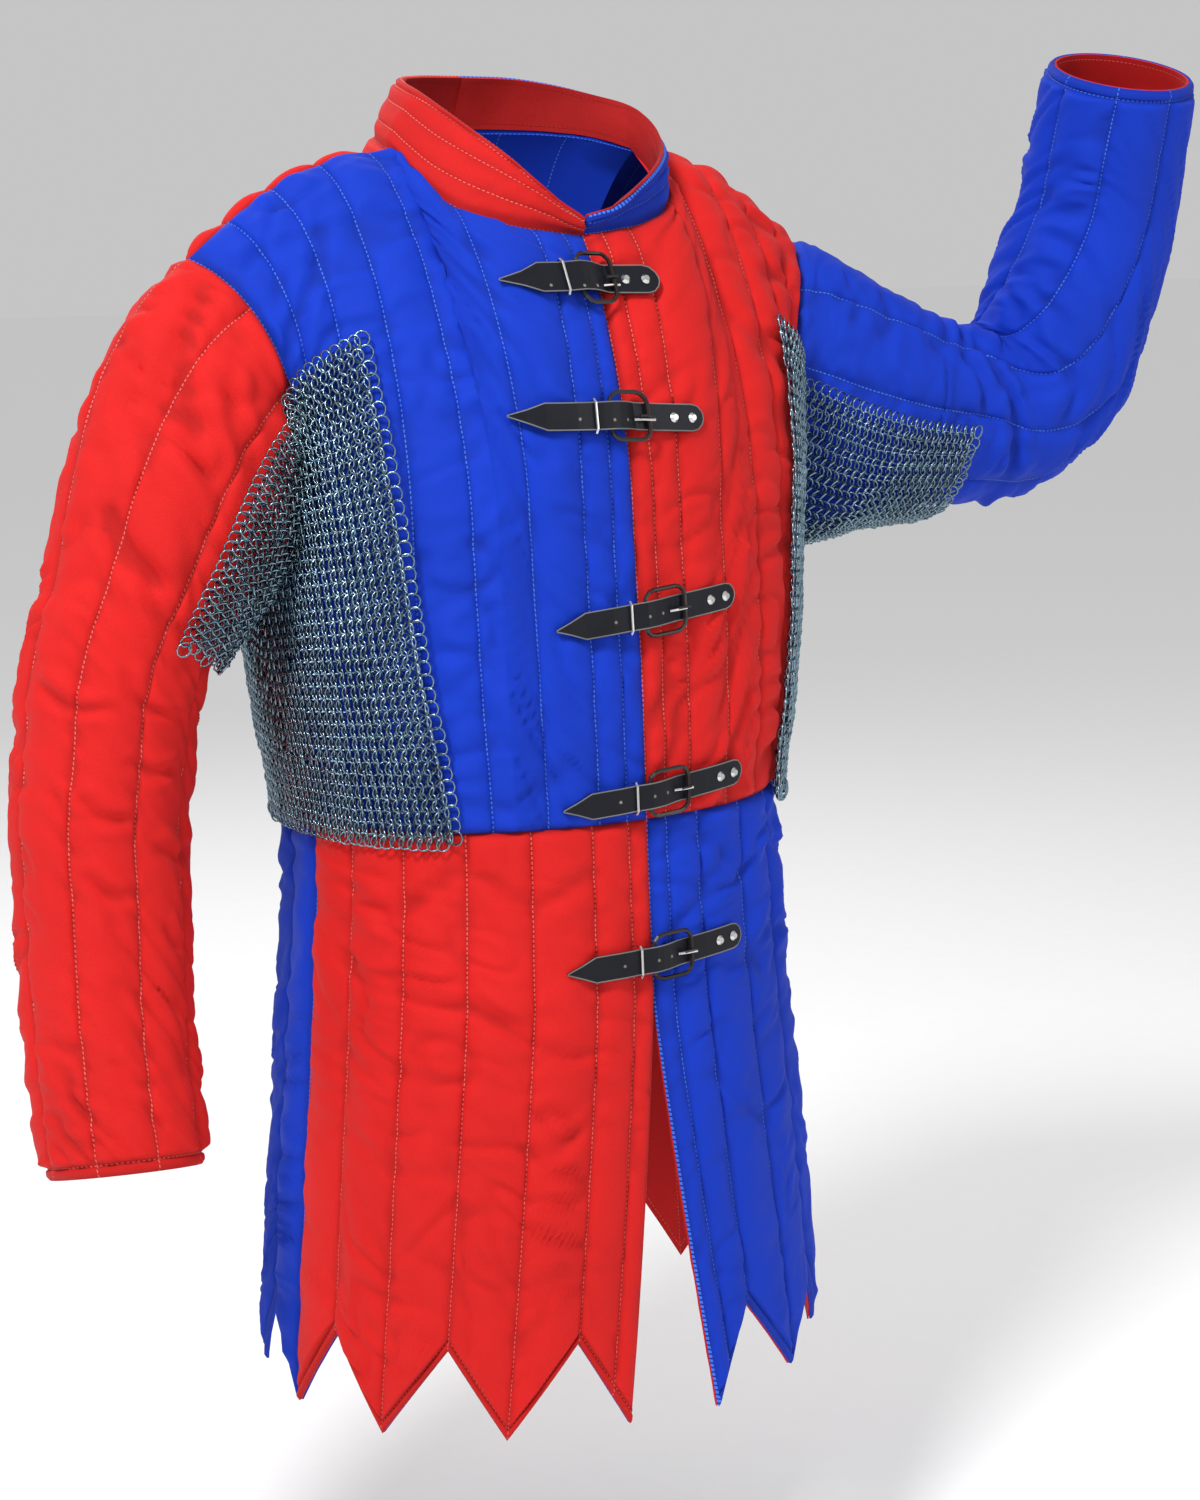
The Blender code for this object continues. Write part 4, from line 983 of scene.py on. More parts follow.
class NodeKit:
    """Adds shader nodes to a new material."""

    def __init__(self, name: str) -> None:
        """Make an empty node tree with an output.

        Args:
            name: Name of the material.
        """
        self.made = bpy.data.materials.new(name)
        self.made.use_nodes = True
        self.tree = self.made.node_tree
        self.tree.nodes.clear()
        self.output = self.add("ShaderNodeOutputMaterial")

    def add(self, kind: str, **settings: str | float) -> bpy.types.Node:
        """Add a node and set its properties.

        Args:
            kind: Type of node.
            settings: Its properties.

        Returns:
            The node.
        """
        node = self.tree.nodes.new(kind)
        for key, value in settings.items():
            setattr(node, key, value)
        return node

    def link(self, source: bpy.types.NodeSocket, goal: bpy.types.NodeSocket) -> None:
        """Join two sockets."""
        self.tree.links.new(source, goal)

    def shader(self, roughness: float, metallic: float) -> bpy.types.Node:
        """Add the Principled shader.

        Args:
            roughness: Its roughness.
            metallic: 1 for bare metal.

        Returns:
            The shader.
        """
        node = self.add("ShaderNodeBsdfPrincipled")
        node.inputs["Roughness"].default_value = roughness
        node.inputs["Metallic"].default_value = metallic
        self.link(node.outputs[0], self.output.inputs[0])
        return node

    def maths(self, operation: str, *values: bpy.types.NodeSocket | float) -> bpy.types.NodeSocket:
        """Add a math node.

        Args:
            operation: What it does.
            values: Sockets or numbers.

        Returns:
            Its result.
        """
        node = self.add("ShaderNodeMath", operation=operation)
        for socket, value in zip(node.inputs, values):
            if isinstance(value, (int, float)):
                socket.default_value = value
            else:
                self.link(value, socket)
        return node.outputs[0]

    def ramp(self, value: bpy.types.NodeSocket, low: float, high: float, first: float,
             second: float) -> bpy.types.NodeSocket:
        """Map a value from one range to another, held at the ends.

        Args:
            value: What is mapped.
            low: Start of the first range.
            high: End of the first range.
            first: Result at low.
            second: Result at high.

        Returns:
            The mapped value.
        """
        node = self.add("ShaderNodeMapRange", clamp=True)
        self.link(value, node.inputs["Value"])
        for socket, number in zip(("From Min", "From Max", "To Min", "To Max"),
                                  (low, high, first, second)):
            node.inputs[socket].default_value = number
        return node.outputs["Result"]

    def noise(self, vector: bpy.types.NodeSocket, scale: float,
              detail: float) -> bpy.types.NodeSocket:
        """Add a noise texture.

        Args:
            vector: Where it is read.
            scale: Cells in a metre.
            detail: Number of finer layers.

        Returns:
            The noise.
        """
        node = self.add("ShaderNodeTexNoise")
        node.inputs["Scale"].default_value = scale
        node.inputs["Detail"].default_value = detail
        self.link(vector, node.inputs["Vector"])
        return node.outputs[0]

    def weave(self, plane: bpy.types.NodeSocket, pitch: float) -> bpy.types.NodeSocket:
        """Over and under of a plain weave, from -1 to 1.

        Args:
            plane: Distances across and along.
            pitch: Length of one over and under.

        Returns:
            The weave.
        """
        parts = self.add("ShaderNodeSeparateXYZ")
        self.link(plane, parts.inputs[0])
        turns = [self.maths("SINE", self.maths("MULTIPLY", parts.outputs[k], 2 * math.pi / pitch))
                 for k in (0, 1)]
        return self.maths("MULTIPLY", *turns)

    def scale_colour(self, colour: tuple[float, float, float],
                     tone: bpy.types.NodeSocket) -> bpy.types.NodeSocket:
        """Multiply a colour by a value.

        Args:
            colour: The colour.
            tone: Its multiplier.

        Returns:
            The scaled colour.
        """
        node = self.add("ShaderNodeVectorMath", operation="SCALE")
        node.inputs[0].default_value = colour
        self.link(tone, node.inputs["Scale"])
        return node.outputs[0]

    def bump(self, height: bpy.types.NodeSocket, strength: float, shader: bpy.types.Node) -> None:
        """Add a bump node under the shader's normal.

        Args:
            height: Relief in metres.
            strength: Share that shows.
            shader: The shader.
        """
        node = self.add("ShaderNodeBump")
        node.inputs["Strength"].default_value = strength
        node.inputs["Distance"].default_value = 1.0
        self.link(height, node.inputs["Height"])
        self.link(node.outputs[0], shader.inputs["Normal"])


@dataclass(frozen=True)
class Cotton:
    """Closely woven cotton with dashed machine stitches and painted shade in its valleys."""

    name: str
    colour: tuple[float, float, float]
    thread: tuple[float, float, float]
    roughness: float = 0.74
    sheen: float = 0.02

    def material(self) -> bpy.types.Material:
        """Build the procedural material.

        Returns:
            The material.
        """
        kit = NodeKit(self.name)
        shader = kit.shader(self.roughness, 0.0)
        shader.inputs["Specular IOR Level"].default_value = 0.20
        shader.inputs["Sheen Weight"].default_value = self.sheen
        shader.inputs["Sheen Roughness"].default_value = 0.45
        plane = kit.add("ShaderNodeUVMap", uv_map="Cloth").outputs["UV"]
        coordinates = kit.add("ShaderNodeTexCoord").outputs["Object"]
        cloud = kit.noise(coordinates, 9.0, 4.0)
        grain = kit.noise(coordinates, 900.0, 2.0)
        # Painted shade: darker where the cloth is thinner, in the quilting's valleys, stitch
        # lines, seams and hems
        relief_shade = kit.add("ShaderNodeAttribute", attribute_name="relief_shade").outputs["Fac"]
        shade = kit.ramp(relief_shade, 0.0, 0.55, 0.74, 1.0)
        vary = kit.ramp(cloud, 0.25, 0.75, 0.90, 1.06)
        speck = kit.ramp(grain, 0.2, 0.8, 0.93, 1.05)
        tone = kit.maths("MULTIPLY", kit.maths("MULTIPLY", shade, vary), speck)
        threads, stitch_shades = [], []
        for layer in ("Stitch", "Border"):
            seam = kit.add("ShaderNodeSeparateXYZ")
            kit.link(kit.add("ShaderNodeUVMap", uv_map=layer).outputs["UV"], seam.inputs[0])
            away = kit.maths("ABSOLUTE", seam.outputs[0])
            run = kit.maths("FRACT", kit.maths("DIVIDE", seam.outputs[1], 0.0036))
            dash = kit.maths("MULTIPLY", kit.ramp(run, 0.04, 0.12, 0.0, 1.0),
                             kit.ramp(run, 0.68, 0.78, 1.0, 0.0))
            close = kit.ramp(away, 0.00035, 0.00060, 1.0, 0.0)
            threads.append(kit.maths("MULTIPLY", dash, close))
            # Painted shade along each stitch line, where the cloth dips
            stitch_shades.append(kit.ramp(away, 0.0002, 0.0011, 1.0, 0.0))
        thread = kit.maths("MAXIMUM", *threads)
        gap = kit.maths("MAXIMUM", *stitch_shades)
        # Darken the colour by up to 30% beside the stitch lines: painted shade
        tone = kit.maths("MULTIPLY", tone, kit.ramp(gap, 0.0, 1.0, 1.0, 0.70))
        base = kit.scale_colour(self.colour, tone)
        mixed = kit.add("ShaderNodeMix", data_type="RGBA")
        kit.link(thread, mixed.inputs[0])
        kit.link(base, mixed.inputs[6])
        mixed.inputs[7].default_value = (*self.thread, 1.0)
        kit.link(mixed.outputs[2], shader.inputs["Base Color"])
        weave = kit.weave(plane, 0.0011)
        height = kit.maths("ADD", kit.maths("MULTIPLY", weave, 0.00010),
                           kit.maths("MULTIPLY", grain, 0.00022))
        height = kit.maths("ADD", height, kit.maths("MULTIPLY", thread, 0.00035))
        kit.bump(height, 0.8, shader)
        return kit.made


@dataclass(frozen=True)
class Finish:
    """Leather, enamel or metal."""

    name: str
    colour: tuple[float, float, float]
    roughness: float
    metallic: float = 0.0
    grain: float = 500.0
    depth: float = 0.00008
    spread: float = 0.25
    coat: float = 0.0
    specular: float = 0.5

    def material(self) -> bpy.types.Material:
        """Build the procedural material.

        Returns:
            The material.
        """
        kit = NodeKit(self.name)
        shader = kit.shader(self.roughness, self.metallic)
        shader.inputs["Coat Weight"].default_value = self.coat
        shader.inputs["Specular IOR Level"].default_value = self.specular
        coordinates = kit.add("ShaderNodeTexCoord").outputs["Object"]
        cloud = kit.noise(coordinates, 38.0, 4.0)
        grain = kit.noise(coordinates, self.grain, 3.0)
        tone = kit.ramp(cloud, 0.2, 0.8, 1.0 - self.spread, 1.0 + self.spread)
        kit.link(kit.scale_colour(self.colour, tone), shader.inputs["Base Color"])
        rough = kit.ramp(grain, 0.2, 0.8, self.roughness * 0.8, min(1.0, self.roughness * 1.25))
        kit.link(rough, shader.inputs["Roughness"])
        kit.bump(kit.maths("MULTIPLY", grain, self.depth), 0.6, shader)
        return kit.made


BLUE = Cotton("cotton_blue", (0.0015, 0.034, 0.47), (0.05, 0.17, 0.80))
RED = Cotton("cotton_red", (0.61, 0.010, 0.009), (0.80, 0.12, 0.10))
# Darker copy of the red, with a darker thread, for the collar's lining: painted shade inside the
# collar
SHADED_RED = Cotton("cotton_red_inside", (0.50, 0.010, 0.010), (0.42, 0.012, 0.012))
MAIL = Finish("steel_rings", (0.24, 0.35, 0.42), 0.28, 1.0, 300.0, 0.00004, 0.35)
LEATHER = Finish("black_leather", (0.0045, 0.005, 0.009), 0.40, grain=620.0, depth=0.00012,
                 spread=0.30, specular=0.24)
ENAMEL = Finish("black_enamel", (0.012, 0.007, 0.006), 0.28, grain=200.0, depth=0.00003,
                spread=0.2, coat=0.25, specular=0.35)
NICKEL = Finish("nickel", (0.66, 0.66, 0.65), 0.24, 1.0, 240.0, 0.00002, 0.08)
EDGE_LEATHER = Finish("cut_leather", (0.15, 0.15, 0.15), 0.6, grain=400.0, depth=0.00005,
                      spread=0.3, specular=0.3)
HOLE_LEATHER = Finish("punched_leather", (0.20, 0.17, 0.15), 0.7, grain=400.0, depth=0.00003,
                      spread=0.4, specular=0.2)
PAPER = Finish("floor_paper", (0.97, 0.97, 0.97), 0.9, grain=30.0, depth=0.0, spread=0.01)

# Strap holes, measured along the strap from the buckle's middle
HOLE_OFFSETS = (-0.0430, -0.0160, -0.0030)

# Fastenings from the neck down: number, height at the front edge, buckle's offset, tilt in degrees
FASTENINGS = (
    (1, -0.0960, -0.0085, -1.7), (2, -0.1915, -0.0030, -3.2), (3, -0.3330, 0.0160, 5.1),
    (4, -0.4645, 0.0140, 4.1), (5, -0.5865, 0.0120, 2.8),
)

# Folds on the sleeves: shares round and along of the two ends, width, depth
RIGHT_FOLDS = (
    (0.050, 0.010, 0.233, 0.147, 0.0075, 0.0042), (0.083, 0.100, 0.150, 0.127, 0.0050, 0.0022),
    (0.163, 0.067, 0.296, 0.093, 0.0060, 0.0028), (0.075, 0.197, 0.242, 0.237, 0.0080, 0.0042),
    (0.175, 0.233, 0.283, 0.283, 0.0060, 0.0026), (0.042, 0.403, 0.192, 0.417, 0.0065, 0.0030),
    (0.192, 0.350, 0.312, 0.420, 0.0060, 0.0028), (0.217, 0.500, 0.338, 0.513, 0.0060, 0.0026),
    (0.092, 0.547, 0.142, 0.587, 0.0050, 0.0020), (0.138, 0.553, 0.246, 0.587, 0.0060, 0.0030),
    (0.287, 0.623, 0.425, 0.637, 0.0060, 0.0026), (0.150, 0.650, 0.254, 0.687, 0.0055, 0.0026),
    (0.300, 0.720, 0.362, 0.750, 0.0050, 0.0020), (0.062, 0.837, 0.133, 0.850, 0.0050, 0.0020),
    (0.179, 0.867, 0.267, 0.907, 0.0055, 0.0026), (0.087, 0.883, 0.146, 0.940, 0.0050, 0.0020),
    (0.233, 0.917, 0.275, 0.953, 0.0045, 0.0018), (0.058, 0.947, 0.150, 0.963, 0.0050, 0.0020),
    (0.560, 0.520, 0.760, 0.480, 0.0070, 0.0034), (0.600, 0.340, 0.740, 0.390, 0.0065, 0.0030),
    (0.700, 0.600, 0.860, 0.560, 0.0060, 0.0028), (0.760, 0.120, 0.930, 0.060, 0.0070, 0.0034),
    (0.800, 0.240, 0.930, 0.270, 0.0060, 0.0026), (0.640, 0.760, 0.780, 0.800, 0.0055, 0.0024),
    (0.820, 0.860, 0.920, 0.900, 0.0050, 0.0022),
)
LEFT_FOLDS = (
    (0.067, 0.113, 0.146, 0.077, 0.0055, 0.0024), (0.096, 0.123, 0.179, 0.097, 0.0055, 0.0026),
    (0.087, 0.180, 0.179, 0.143, 0.0060, 0.0028), (0.029, 0.303, 0.183, 0.217, 0.0065, 0.0030),
    (0.083, 0.327, 0.188, 0.253, 0.0060, 0.0026), (0.096, 0.337, 0.375, 0.403, 0.0090, 0.0055),
    (0.142, 0.290, 0.254, 0.323, 0.0060, 0.0028), (0.875, 0.663, 1.000, 0.587, 0.0060, 0.0028),
    (0.904, 0.680, 1.108, 0.580, 0.0060, 0.0028), (0.021, 0.590, 0.258, 0.480, 0.0065, 0.0030),
    (0.917, 0.753, 1.071, 0.697, 0.0055, 0.0024), (0.892, 0.687, 0.971, 0.673, 0.0050, 0.0020),
    (0.420, 0.420, 0.600, 0.460, 0.0075, 0.0036), (0.560, 0.300, 0.720, 0.350, 0.0065, 0.0030),
    (0.640, 0.520, 0.800, 0.470, 0.0060, 0.0028), (0.760, 0.140, 0.900, 0.090, 0.0065, 0.0030),
    (0.500, 0.700, 0.640, 0.660, 0.0055, 0.0024), (0.700, 0.820, 0.820, 0.860, 0.0055, 0.0024),
)

# Folds on the body panels, in shares across and along
CHEST_FOLDS = (
    (0.62, 0.10, 0.93, 0.28, 0.0080, 0.0030), (0.72, 0.04, 0.96, 0.12, 0.0060, 0.0024),
    (0.30, 0.62, 0.62, 0.68, 0.0060, 0.0018), (0.20, 0.93, 0.60, 0.955, 0.0060, 0.0022),
    (0.40, 0.80, 0.66, 0.83, 0.0055, 0.0016), (0.12, 0.45, 0.34, 0.47, 0.0055, 0.0014),
)
BACK_FOLDS = (
    (0.60, 0.12, 0.92, 0.26, 0.0080, 0.0030), (0.10, 0.55, 0.46, 0.58, 0.0070, 0.0020),
    (0.35, 0.74, 0.78, 0.77, 0.0065, 0.0022), (0.05, 0.90, 0.45, 0.925, 0.0065, 0.0024),
    (0.50, 0.93, 0.90, 0.95, 0.0060, 0.0022), (0.20, 0.30, 0.50, 0.34, 0.0065, 0.0018),
)
SKIRT_FOLDS = (
    (0.18, 0.06, 0.52, 0.11, 0.0075, 0.0026), (0.50, 0.12, 0.92, 0.07, 0.0075, 0.0026),
    (0.30, 0.26, 0.66, 0.33, 0.0080, 0.0024), (0.60, 0.42, 0.94, 0.37, 0.0070, 0.0020),
    (0.10, 0.50, 0.40, 0.56, 0.0070, 0.0018), (0.46, 0.66, 0.80, 0.71, 0.0070, 0.0016),
)


def folds(rows: Table, wrap: bool = False, flip: bool = False,
          strength: float = 1.0) -> tuple[Crease, ...]:
    """Turn rows into folds.

    Args:
        rows: Ends, width and depth of each fold.
        wrap: Also place each one a turn earlier and later.
        flip: Slant them the other way for variety.
        strength: Multiplies their depth.

    Returns:
        The folds.
    """
    made = []
    for u0, v0, u1, v1, width, depth in rows:
        if flip:
            v0, v1 = v1, v0
        for turn in ((-1.0, 0.0, 1.0) if wrap else (0.0,)):
            made.append(Crease(u0 + turn, v0, u1 + turn, v1, width, depth * strength))
    return tuple(made)


def place(piece: bpy.types.Object, node: str, slot: str, flat: tuple[float, float],
          rests_on: tuple[str, ...], area: float) -> None:
    """Declare a piece of cloth.

    Args:
        piece: The cloth.
        node: CAD node that it stands for.
        slot: Material slot; not used.
        flat: Width and length of its cut; not used.
        rests_on: Names of the pieces it is sewn to; not used.
        area: Area of its cut; not used.
    """
    declare(piece)
    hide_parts(node)
    LOG.info("%s: %d triangles", piece.name, sum(len(f.vertices) - 2 for f in piece.data.polygons))


def cut_size(cloth: Cloth, level: bool = False) -> tuple[tuple[float, float], float]:
    """Flat size and area of a piece before quilting.

    Args:
        cloth: The sampled piece.
        level: Measure the width level, past the points of a dagged hem.

    Returns:
        Width and length, and area.
    """
    p = cloth.points
    first = np.linalg.norm(np.cross(p[1:, :-1] - p[:-1, :-1], p[:-1, 1:] - p[:-1, :-1]), axis=-1)
    second = np.linalg.norm(np.cross(p[1:, :-1] - p[1:, 1:], p[:-1, 1:] - p[1:, 1:]), axis=-1)
    area = float((first + second).sum()) / 2
    width, length = float(cloth.across[:, -1].max()), float(cloth.along[-1].max())
    if level:
        width = float(arc(p * LEVEL, 1)[:, -1].max())
    return (round(width, 4), round(length, 4)), min(area, width * length)


@dataclass
class SideBuilder:
    """Builds one side of the garment."""

    side: Side
    looks: dict[str, bpy.types.Material]

    def __post_init__(self) -> None:
        """Set up the side's shapes."""
        left = self.side is Side.LEFT
        self.sleeve = Sleeve(LEFT_ARM if left else RIGHT_ARM, LEFT_TWIST if left else 0.0)
        top = COLLAR_TOP_LEFT if left else COLLAR_TOP_RIGHT
        self.collar = Collar(top, 1.7, 0.0) if left else Collar(top, 1.0, 0.004)
        self.seams = find_seams(self.sleeve, self.collar)
        self.seed = 11 if left else 57

    def name(self, part: str) -> str:
        """Name with the side's word."""
        return f"{part}_{self.side.word}"

    def quilted(self, *parts: str) -> tuple[str, ...]:
        """Names of quilted pieces."""
        return tuple("quilted_" + self.name(part) for part in parts)

    def colour(self, red_on_left: bool) -> str:
        """Slot of a quarter: red on one side of the wearer, blue on the other."""
        return "cotton_red" if (self.side is Side.LEFT) == red_on_left else "cotton_blue"

    def sew(self, cloth: Cloth, part: str, slot: str, rests_on: tuple[str, ...],
            row_step: int = INNER_ROW_STEP, level: bool = False) -> None:
        """Args:
            cloth: The sampled piece.
            part: Name of its CAD node without the side.
            slot: Material slot.
            rests_on: Names of the pieces it is sewn to.
            row_step: Rows of the outer face to one of the inner face.
            level: Measure the cut's width level.
        """
        piece = make_wall(cloth, self.side, self.looks[slot], row_step)
        flat, area = cut_size(cloth, level)
        place(piece, self.name(part), slot, flat, rests_on, area)

    def body(self) -> None:
        """Build the chest front and the back."""
        seams = self.seams
        rows = even_rows(BODY_LENGTH, ROW_PITCH)
        for front, part, top, side, edge in (
                (True, "chest_front", seams.front_top, seams.front_side, 0.006),
                (False, "back", seams.back_top, seams.back_side, 0.005)):
            lines = channel_lines(BODY_CHANNELS, EDGE_STRIP / PANEL_WIDTH if front else 0.0)
            creases = folds(CHEST_FOLDS if front else BACK_FOLDS, flip=self.side is Side.LEFT)
            cloth = sample_cloth(*self.quilted(part), Upper(front), lines, PANEL_COLUMNS, rows,
                                 FRONT_OUT if front else BACK_OUT, Quilting(),
                                 self.seed + (1 if front else 2), creases)
            columns = dense_columns(lines, PANEL_COLUMNS)
            cloth.blend_edge("first", cloth.normals[:, 0] * UPRIGHT, EDGE_REACH)
            cloth.blend_edge("top", SeamLines.read(columns, seams.share, top), SEAM_REACH)
            cloth.blend_edge("last", SeamLines.read(rows, seams.down, side), SEAM_REACH)
            for where, reach in (("top", 0.008), ("last", 0.007), ("bottom", 0.006),
                                 ("first", edge)):
                cloth.pinch(where, reach)
            self.sew(cloth, part, self.colour(front), self.quilted("back") if front else ())

    def skirt(self) -> None:
        """Build the skirt's panels and the front's lining."""
        left = self.side is Side.LEFT
        opened = (SLIT_HALF_LEFT, FLARE_LEFT) if left else (SLIT_HALF_RIGHT, 0.0)
        rows = even_rows(BODY_LENGTH, ROW_PITCH, HEM_LENGTH)
        for front, part, above, channels in (
                (True, "skirt_front", "chest_front", SKIRT_FRONT_CHANNELS),
                (False, "skirt_back", "back", SKIRT_BACK_CHANNELS)):
            shape = Skirt(front, *opened) if front else Skirt(front)
            lines = channel_lines(channels, EDGE_STRIP / SKIRT_WIDTH if front else 0.0)
            cloth = sample_cloth(*self.quilted(part), shape, lines, PANEL_COLUMNS, rows,
                                 FRONT_OUT if front else BACK_OUT, Quilting(),
                                 self.seed + (3 if front else 4),
                                 folds(SKIRT_FOLDS, flip=left != front))
            for where, reach in (("top", 0.006), ("last", 0.006), ("first", 0.005)):
                cloth.pinch(where, reach)
            cloth.hem("bottom")
            self.sew(cloth, part, self.colour(not front), self.quilted(above), level=True)
            if front:
                self.lining(cloth, "lining_skirt", slice(6, None), self.colour(True))

    def sleeves(self) -> None:
        """Build the sleeve and the lining of its cuff."""
        table = LEFT_FOLDS if self.side is Side.LEFT else RIGHT_FOLDS
        lines = channel_lines(SLEEVE_CHANNELS, 0.0)
        quilting = Quilting(wrinkle=0.0022, pucker=0.0014, furrow=0.0036, furrow_pitch=0.020)
        cloth = sample_cloth(*self.quilted("sleeve"), self.sleeve, lines, TUBE_COLUMNS,
                             even_rows(SLEEVE_LENGTH, ROW_PITCH, HEM_LENGTH), None, quilting,
                             self.seed + 5, folds(table, wrap=True, strength=FOLD_STRENGTH),
                             wrap=True)
        edge = SeamLines.read(dense_columns(lines, TUBE_COLUMNS), self.seams.round,
                              self.seams.armhole)
        cloth.blend_edge("top", edge, SEAM_REACH)
        cloth.pinch("top", 0.007)
        cloth.hem("bottom")
        self.sew(cloth, "sleeve", self.colour(False), self.quilted("chest_front", "back"))
        self.lining(cloth, "lining_cuff", slice(-CUFF_ROWS, None), self.colour(True))

    def collars(self) -> None:
        """Build the collar half and its lining."""
        rows = dense_columns(np.linspace(0.0, 1.0, COLLAR_BANDS + 1), BAND_ROWS)
        quilting = Quilting(crown=COLLAR_CROWN, pucker=0.0004, lump=0.0006, wrinkle=0.0004,
                            furrow=0.0004)
        cloth = self.sample_collar(*self.quilted("collar"), rows,
                                   channel_lines(COLLAR_COLUMNS, 0.0), quilting)
        self.sew(cloth, "collar", self.colour(False), self.quilted("chest_front", "back"),
                 row_step=5)
        # The collar's lining takes the darker copy of the red: painted shade
        self.lining(cloth, "lining_collar", slice(4, None), "cotton_red_inside")

    def sample_collar(self, name: str, rows: np.ndarray, lines: np.ndarray,
                      quilting: Quilting) -> Cloth:
        """Sample the collar with its bands running round.

        Args:
            name: Name of the piece.
            rows: Shares up.
            lines: Shares round at which the inner face has columns.
            quilting: Form of the padding.

        Returns:
            The sampled collar.
        """
        columns = dense_columns(lines, TUBE_COLUMNS)
        marks = np.abs(columns[None, :] - lines[:, None]).argmin(axis=1)
        u, v = np.meshgrid(columns, rows)
        points = self.collar.point(u, v)
        normals = turned(grid_normals(points), points * LEVEL)
        across, along = arc(points, 1), arc(points, 0)
        bands = np.abs(rows[None, :] - np.linspace(0, 1, COLLAR_BANDS + 1)[:, None]).argmin(axis=1)
        thick, stitch = quilting.height(along.T, across.T, bands, self.seed + 8, (), (v.T, u.T),
                                        (1.0, 1.0))
        seam = np.stack([stitch.T, across], -1)
        cloth = Cloth(name, points, normals, marks, across, along, thick.T.copy(), seam)
        for edge, column in (("first", 0), ("last", -1)):
            cloth.blend_edge(edge, unit(cloth.normals[:, column] * UPRIGHT), EDGE_REACH)
        base = SeamLines.read(columns, self.seams.collar_share, self.seams.collar_base)
        cloth.blend_edge("top", base, EDGE_REACH)
        for edge, reach in (("top", 0.010), ("first", 0.005), ("last", 0.005)):
            cloth.pinch(edge, reach)
        cloth.hem("bottom", 0.006, 0.0040)
        return cloth

    def lining(self, cloth: Cloth, part: str, rows: slice, slot: str) -> None:
        """Build a thin lining on the inner side of a sampled piece.

        Args:
            cloth: The piece it lies in.
            part: Name without the side.
            rows: Rows of the piece that it covers.
            slot: Material slot.
        """
        points = cloth.points[rows] - cloth.normals[rows] * LINING_GAP
        across, along = arc(points, 1), arc(points, 0)
        ripple = lattice_noise(across / 0.03, along / 0.012, self.seed + 20)
        thick = LINING_THICK + 0.0004 * (1 + ripple)
        edge = np.minimum(along, along[-1:] - along)
        seam = np.stack([np.abs(edge - LINING_STITCH), across], -1)
        made = Cloth("fabric_" + self.name(part), points, -cloth.normals[rows], cloth.lines,
                     across, along, thick, seam, cloth.wrap)
        self.sew(made, part, slot, (cloth.name,), row_step=3, level=part == "lining_skirt")


